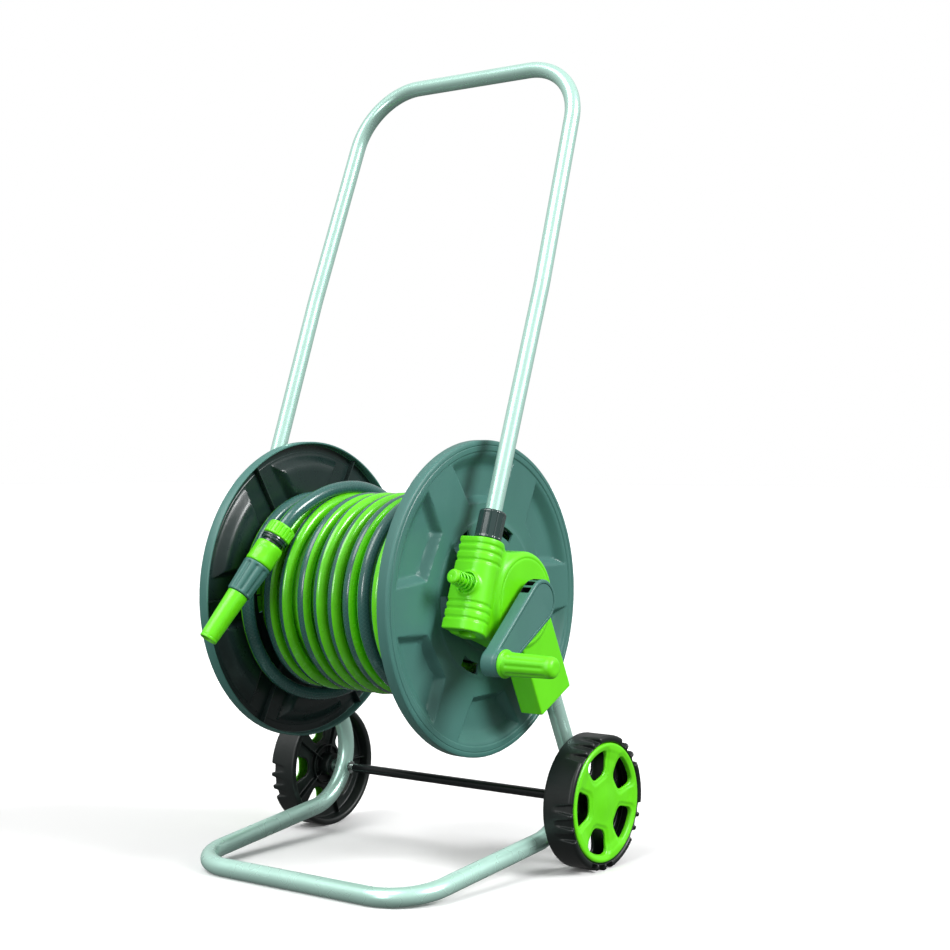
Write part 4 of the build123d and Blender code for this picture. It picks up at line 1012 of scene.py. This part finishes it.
# Hose connector and spray nozzle
def make_nozzle():
    """Nut, lock ring, core, sliding sleeve, nozzle body and barrel, along one axis from the hose's end."""
    side = X
    nut = [(0.0, 8.8), (0.0, 15.6, 0.8), (1.4, 17.2, 0.8), (3.0, 17.4)] + [(4.0 + k, 17.4) for k in range(11)]
    nut += [(15.8, 17.4), (17.2, 16.4, 0.8), (17.2, 8.8)]

    def knurl(along, radius, angle):
        if radius < 16.0:
            return along, radius
        fade = float(smooth_step(along, 2.2, 4.5)) * float(smooth_step(along, 16.0, 14.0))
        groove = max(0.0, math.cos(18 * angle)) ** 3
        return along, radius - 1.3 * groove * fade

    verts, faces = lathe(rounded(nut, 0.3), NOZZLE_FOOT, NOZZLE_DIR, side, 216, knurl)
    piece("hose_nut", verts, faces, "reel", lime, ["connector_nut"], 40.0)
    collar = [(17.5, 13.2), (17.5, 16.2, 0.6), (20.0, 16.7, 0.6), (20.6, 15.5), (21.4, 15.5)]
    collar += [(22.0, 16.7, 0.6), (24.0, 16.2, 0.6), (24.0, 13.2)]
    verts, faces = lathe(rounded(collar, 0.3), NOZZLE_FOOT, NOZZLE_DIR, side, 96)
    piece("hose_lock_ring", verts, faces, "reel", charcoal, ["connector_ring"], 40.0)
    inner = [(12.2, 8.28), (17.3, 8.3), (17.3, 13.1, 0.4), (56.0, 13.1, 0.5), (56.0, 9.2), (30.0, 9.2)]
    inner += [(28.0, 5.5), (12.2, 5.5)]
    verts, faces = lathe(rounded(inner, 0.2), NOZZLE_FOOT, NOZZLE_DIR, side, 96)
    piece("hose_connector_core", verts, faces, "reel", charcoal, ["connector_body"], 40.0)
    sleeve = [(28.5, 13.16), (28.5, 16.0, 0.9), (30.6, 17.5, 1.5), (36.0, 17.4), (40.0, 17.2), (44.0, 17.1)]
    sleeve += [(48.0, 17.2), (52.0, 17.4), (55.0, 17.5, 1.2), (57.0, 16.6, 0.8), (57.0, 13.16)]

    def dented(along, radius, angle):
        """Two shallow thumb dents on opposite sides."""
        if radius < 16.0:
            return along, radius
        for place in (1.05, 1.05 + math.pi):
            off = (angle - place + math.pi) % (2 * math.pi) - math.pi
            reach = math.hypot(off * 17.0, along - 43.0)
            radius -= 0.7 * float(smooth_step(reach, 8.5, 6.0))
        return along, radius

    verts, faces = lathe(rounded(sleeve, 0.5), NOZZLE_FOOT, NOZZLE_DIR, side, 144, dented)
    piece("click_sleeve", verts, faces, "connector_sleeve", lime, ["connector_sleeve"],
          40.0)
    body = [(32.0, 4.5), (32.0, 8.3, 0.5), (52.0, 9.05), (57.6, 9.05), (57.6, 16.8, 0.8), (59.0, 17.4, 0.6)]
    body += [(61.0, 17.4)] + [(63.0 + 4.0 * k, 17.2 - 0.22 * k) for k in range(8)]
    body += [(95.0, 15.5), (97.5, 15.3), (99.2, 15.0, 0.6), (100.0, 14.0, 0.5), (100.0, 11.06)]
    body += [(80.0, 11.06), (80.0, 4.5)]
    verts, faces = lathe(
        rounded(body, 0.3), NOZZLE_FOOT, NOZZLE_DIR, side, 162, flute(9, 2.1, 60.0, 98.8, 13.5, 2.2)
    )
    piece("spray_nozzle_body", verts, faces, "nozzle", grey, ["nozzle_body"], 40.0)
    barrel = [(80.4, 4.0), (80.4, 11.0), (100.4, 11.0), (100.4, 13.3, 0.7), (130.0, 12.3), (160.0, 11.4)]
    barrel += [(162.0, 11.2, 0.4), (162.8, 10.8, 0.3), (163.6, 11.3, 0.4), (166.0, 11.0, 0.6)]
    barrel += [(166.0, 8.2, 0.6), (160.0, 7.6), (150.0, 7.2), (150.0, 4.0)]
    verts, faces = lathe(rounded(barrel, 0.3), NOZZLE_FOOT, NOZZLE_DIR, side, 96)
    piece("spray_barrel", verts, faces, "nozzle_barrel", lime, ["nozzle_barrel"], 40.0)
    # The spray core inside the tip: a pin on three thin arms
    pin = [(149.0, 0.0), (149.0, 3.4, 0.3), (160.5, 2.9, 0.5), (163.0, 1.6, 0.4), (163.2, 0.0)]
    verts, faces = lathe(rounded(pin, 0.2), NOZZLE_FOOT, NOZZLE_DIR, side, 48)
    other = NOZZLE_DIR.cross(side)
    for k in range(3):
        angle = math.radians(30.0 + 120.0 * k)
        out = side * math.cos(angle) + other * math.sin(angle)
        aside = NOZZLE_DIR.cross(out)
        start = len(verts)
        for along in (151.0, 158.5):
            for r, way in ((2.4, -1), (2.4, 1), (7.6, 1), (7.6, -1)):
                verts.append(NOZZLE_FOOT + NOZZLE_DIR * along + out * r + aside * 0.8 * way)
        faces += [tuple(start + i for i in quad) for quad in
                  ((0, 1, 2, 3), (4, 5, 6, 7), (0, 1, 5, 4), (1, 2, 6, 5), (2, 3, 7, 6), (3, 0, 4, 7))]
    piece("spray_core", verts, faces, "nozzle_barrel", charcoal, (), 40.0)


make_nozzle()


# Floor, light and camera
# The strength of the soft dome that lights the cart, above and below the horizon
DOME_ABOVE, DOME_BELOW = 0.58, 0.14


def make_stage():
    """A pale floor and a plain white surround."""
    floor_mesh = bpy.data.meshes.new("floor")
    size = 30.0
    floor_mesh.from_pydata(
        [(-size, -size, 0), (size, -size, 0), (size, size, 0), (-size, size, 0)], [], [(0, 1, 2, 3)]
    )
    floor = bpy.data.objects.new("floor", floor_mesh)
    bpy.context.scene.collection.objects.link(floor)
    material, nodes, links, shader = node_material("pale_floor")
    texture = noise(nodes, links, 2.0, 3.0)
    factor = spread(nodes, links, texture.outputs["Fac"], 0, 1)
    tone = two_colours(nodes, links, factor, (0.93, 0.93, 0.93), (0.96, 0.96, 0.96))
    links.new(tone, shader.inputs["Base Color"])
    shader.inputs["Roughness"].default_value = 0.9
    floor_mesh.materials.append(material)
    floor.visible_diffuse = False
    floor.visible_glossy = False
    # A white backdrop for the camera, and for everything else a soft dome that is bright above and dim below
    world = bpy.data.worlds.new("studio")
    world.use_nodes = True
    nodes, links = world.node_tree.nodes, world.node_tree.links
    background = nodes["Background"]
    background.inputs["Color"].default_value = (1.0, 1.0, 1.0, 1)
    coordinates = nodes.new("ShaderNodeTexCoord")
    parts = nodes.new("ShaderNodeSeparateXYZ")
    links.new(coordinates.outputs["Generated"], parts.inputs["Vector"])
    dome = nodes.new("ShaderNodeMapRange")
    dome.inputs["From Min"].default_value = -0.25
    dome.inputs["From Max"].default_value = 0.45
    dome.inputs["To Min"].default_value = DOME_BELOW
    dome.inputs["To Max"].default_value = DOME_ABOVE
    links.new(parts.outputs["Z"], dome.inputs["Value"])
    rays = nodes.new("ShaderNodeLightPath")
    backdrop = nodes.new("ShaderNodeMix")
    links.new(rays.outputs["Is Camera Ray"], backdrop.inputs["Factor"])
    links.new(dome.outputs["Result"], backdrop.inputs["A"])
    backdrop.inputs["B"].default_value = 1.0
    links.new(backdrop.outputs["Result"], background.inputs["Strength"])
    bpy.context.scene.world = world


def far_light(name, towards, strength, spread_angle):
    """A large softbox far away: soft shadows, and the same light all over the floor."""
    light = bpy.data.lights.new(name, "SUN")
    light.energy = strength
    light.angle = math.radians(spread_angle)
    obj = bpy.data.objects.new(name, light)
    obj.rotation_mode = "QUATERNION"
    obj.rotation_quaternion = Vector(towards).to_track_quat("Z", "Y")
    bpy.context.scene.collection.objects.link(obj)


def area_light(name, place, target, size, power):
    """A softbox near the cart, turned to a target."""
    light = bpy.data.lights.new(name, "AREA")
    light.shape = "RECTANGLE"
    light.size, light.size_y = size
    light.energy = power
    obj = bpy.data.objects.new(name, light)
    obj.location = place
    obj.rotation_mode = "QUATERNION"
    obj.rotation_quaternion = (Vector(target) - Vector(place)).to_track_quat("-Z", "Y")
    bpy.context.scene.collection.objects.link(obj)


def make_lights_and_camera():
    """Light from the right and the front, and the photo's camera."""
    far_light("key", (0.85, 0.15, 0.60), 3.0, 24.0)
    far_light("fill", (-0.20, -0.60, 0.85), 1.8, 40.0)
    area_light("front_softbox", (0.1, -2.7, 0.85), (0.0, 0.0, 0.35), (0.5, 0.9), 16.0)
    data = bpy.data.cameras.new("camera")
    data.sensor_width = 36.0
    data.lens = 63.98
    data.shift_x = -0.0199
    data.shift_y = 0.0019
    data.clip_end = 100.0
    camera = bpy.data.objects.new("camera", data)
    camera.location = (1.3153, -1.6320, 0.4977)
    camera.rotation_euler = (math.radians(89.55), 0.0, math.radians(36.05))
    bpy.context.scene.collection.objects.link(camera)
    bpy.context.scene.camera = camera


make_stage()
make_lights_and_camera()
bpy.context.scene.view_settings.view_transform = "Standard"
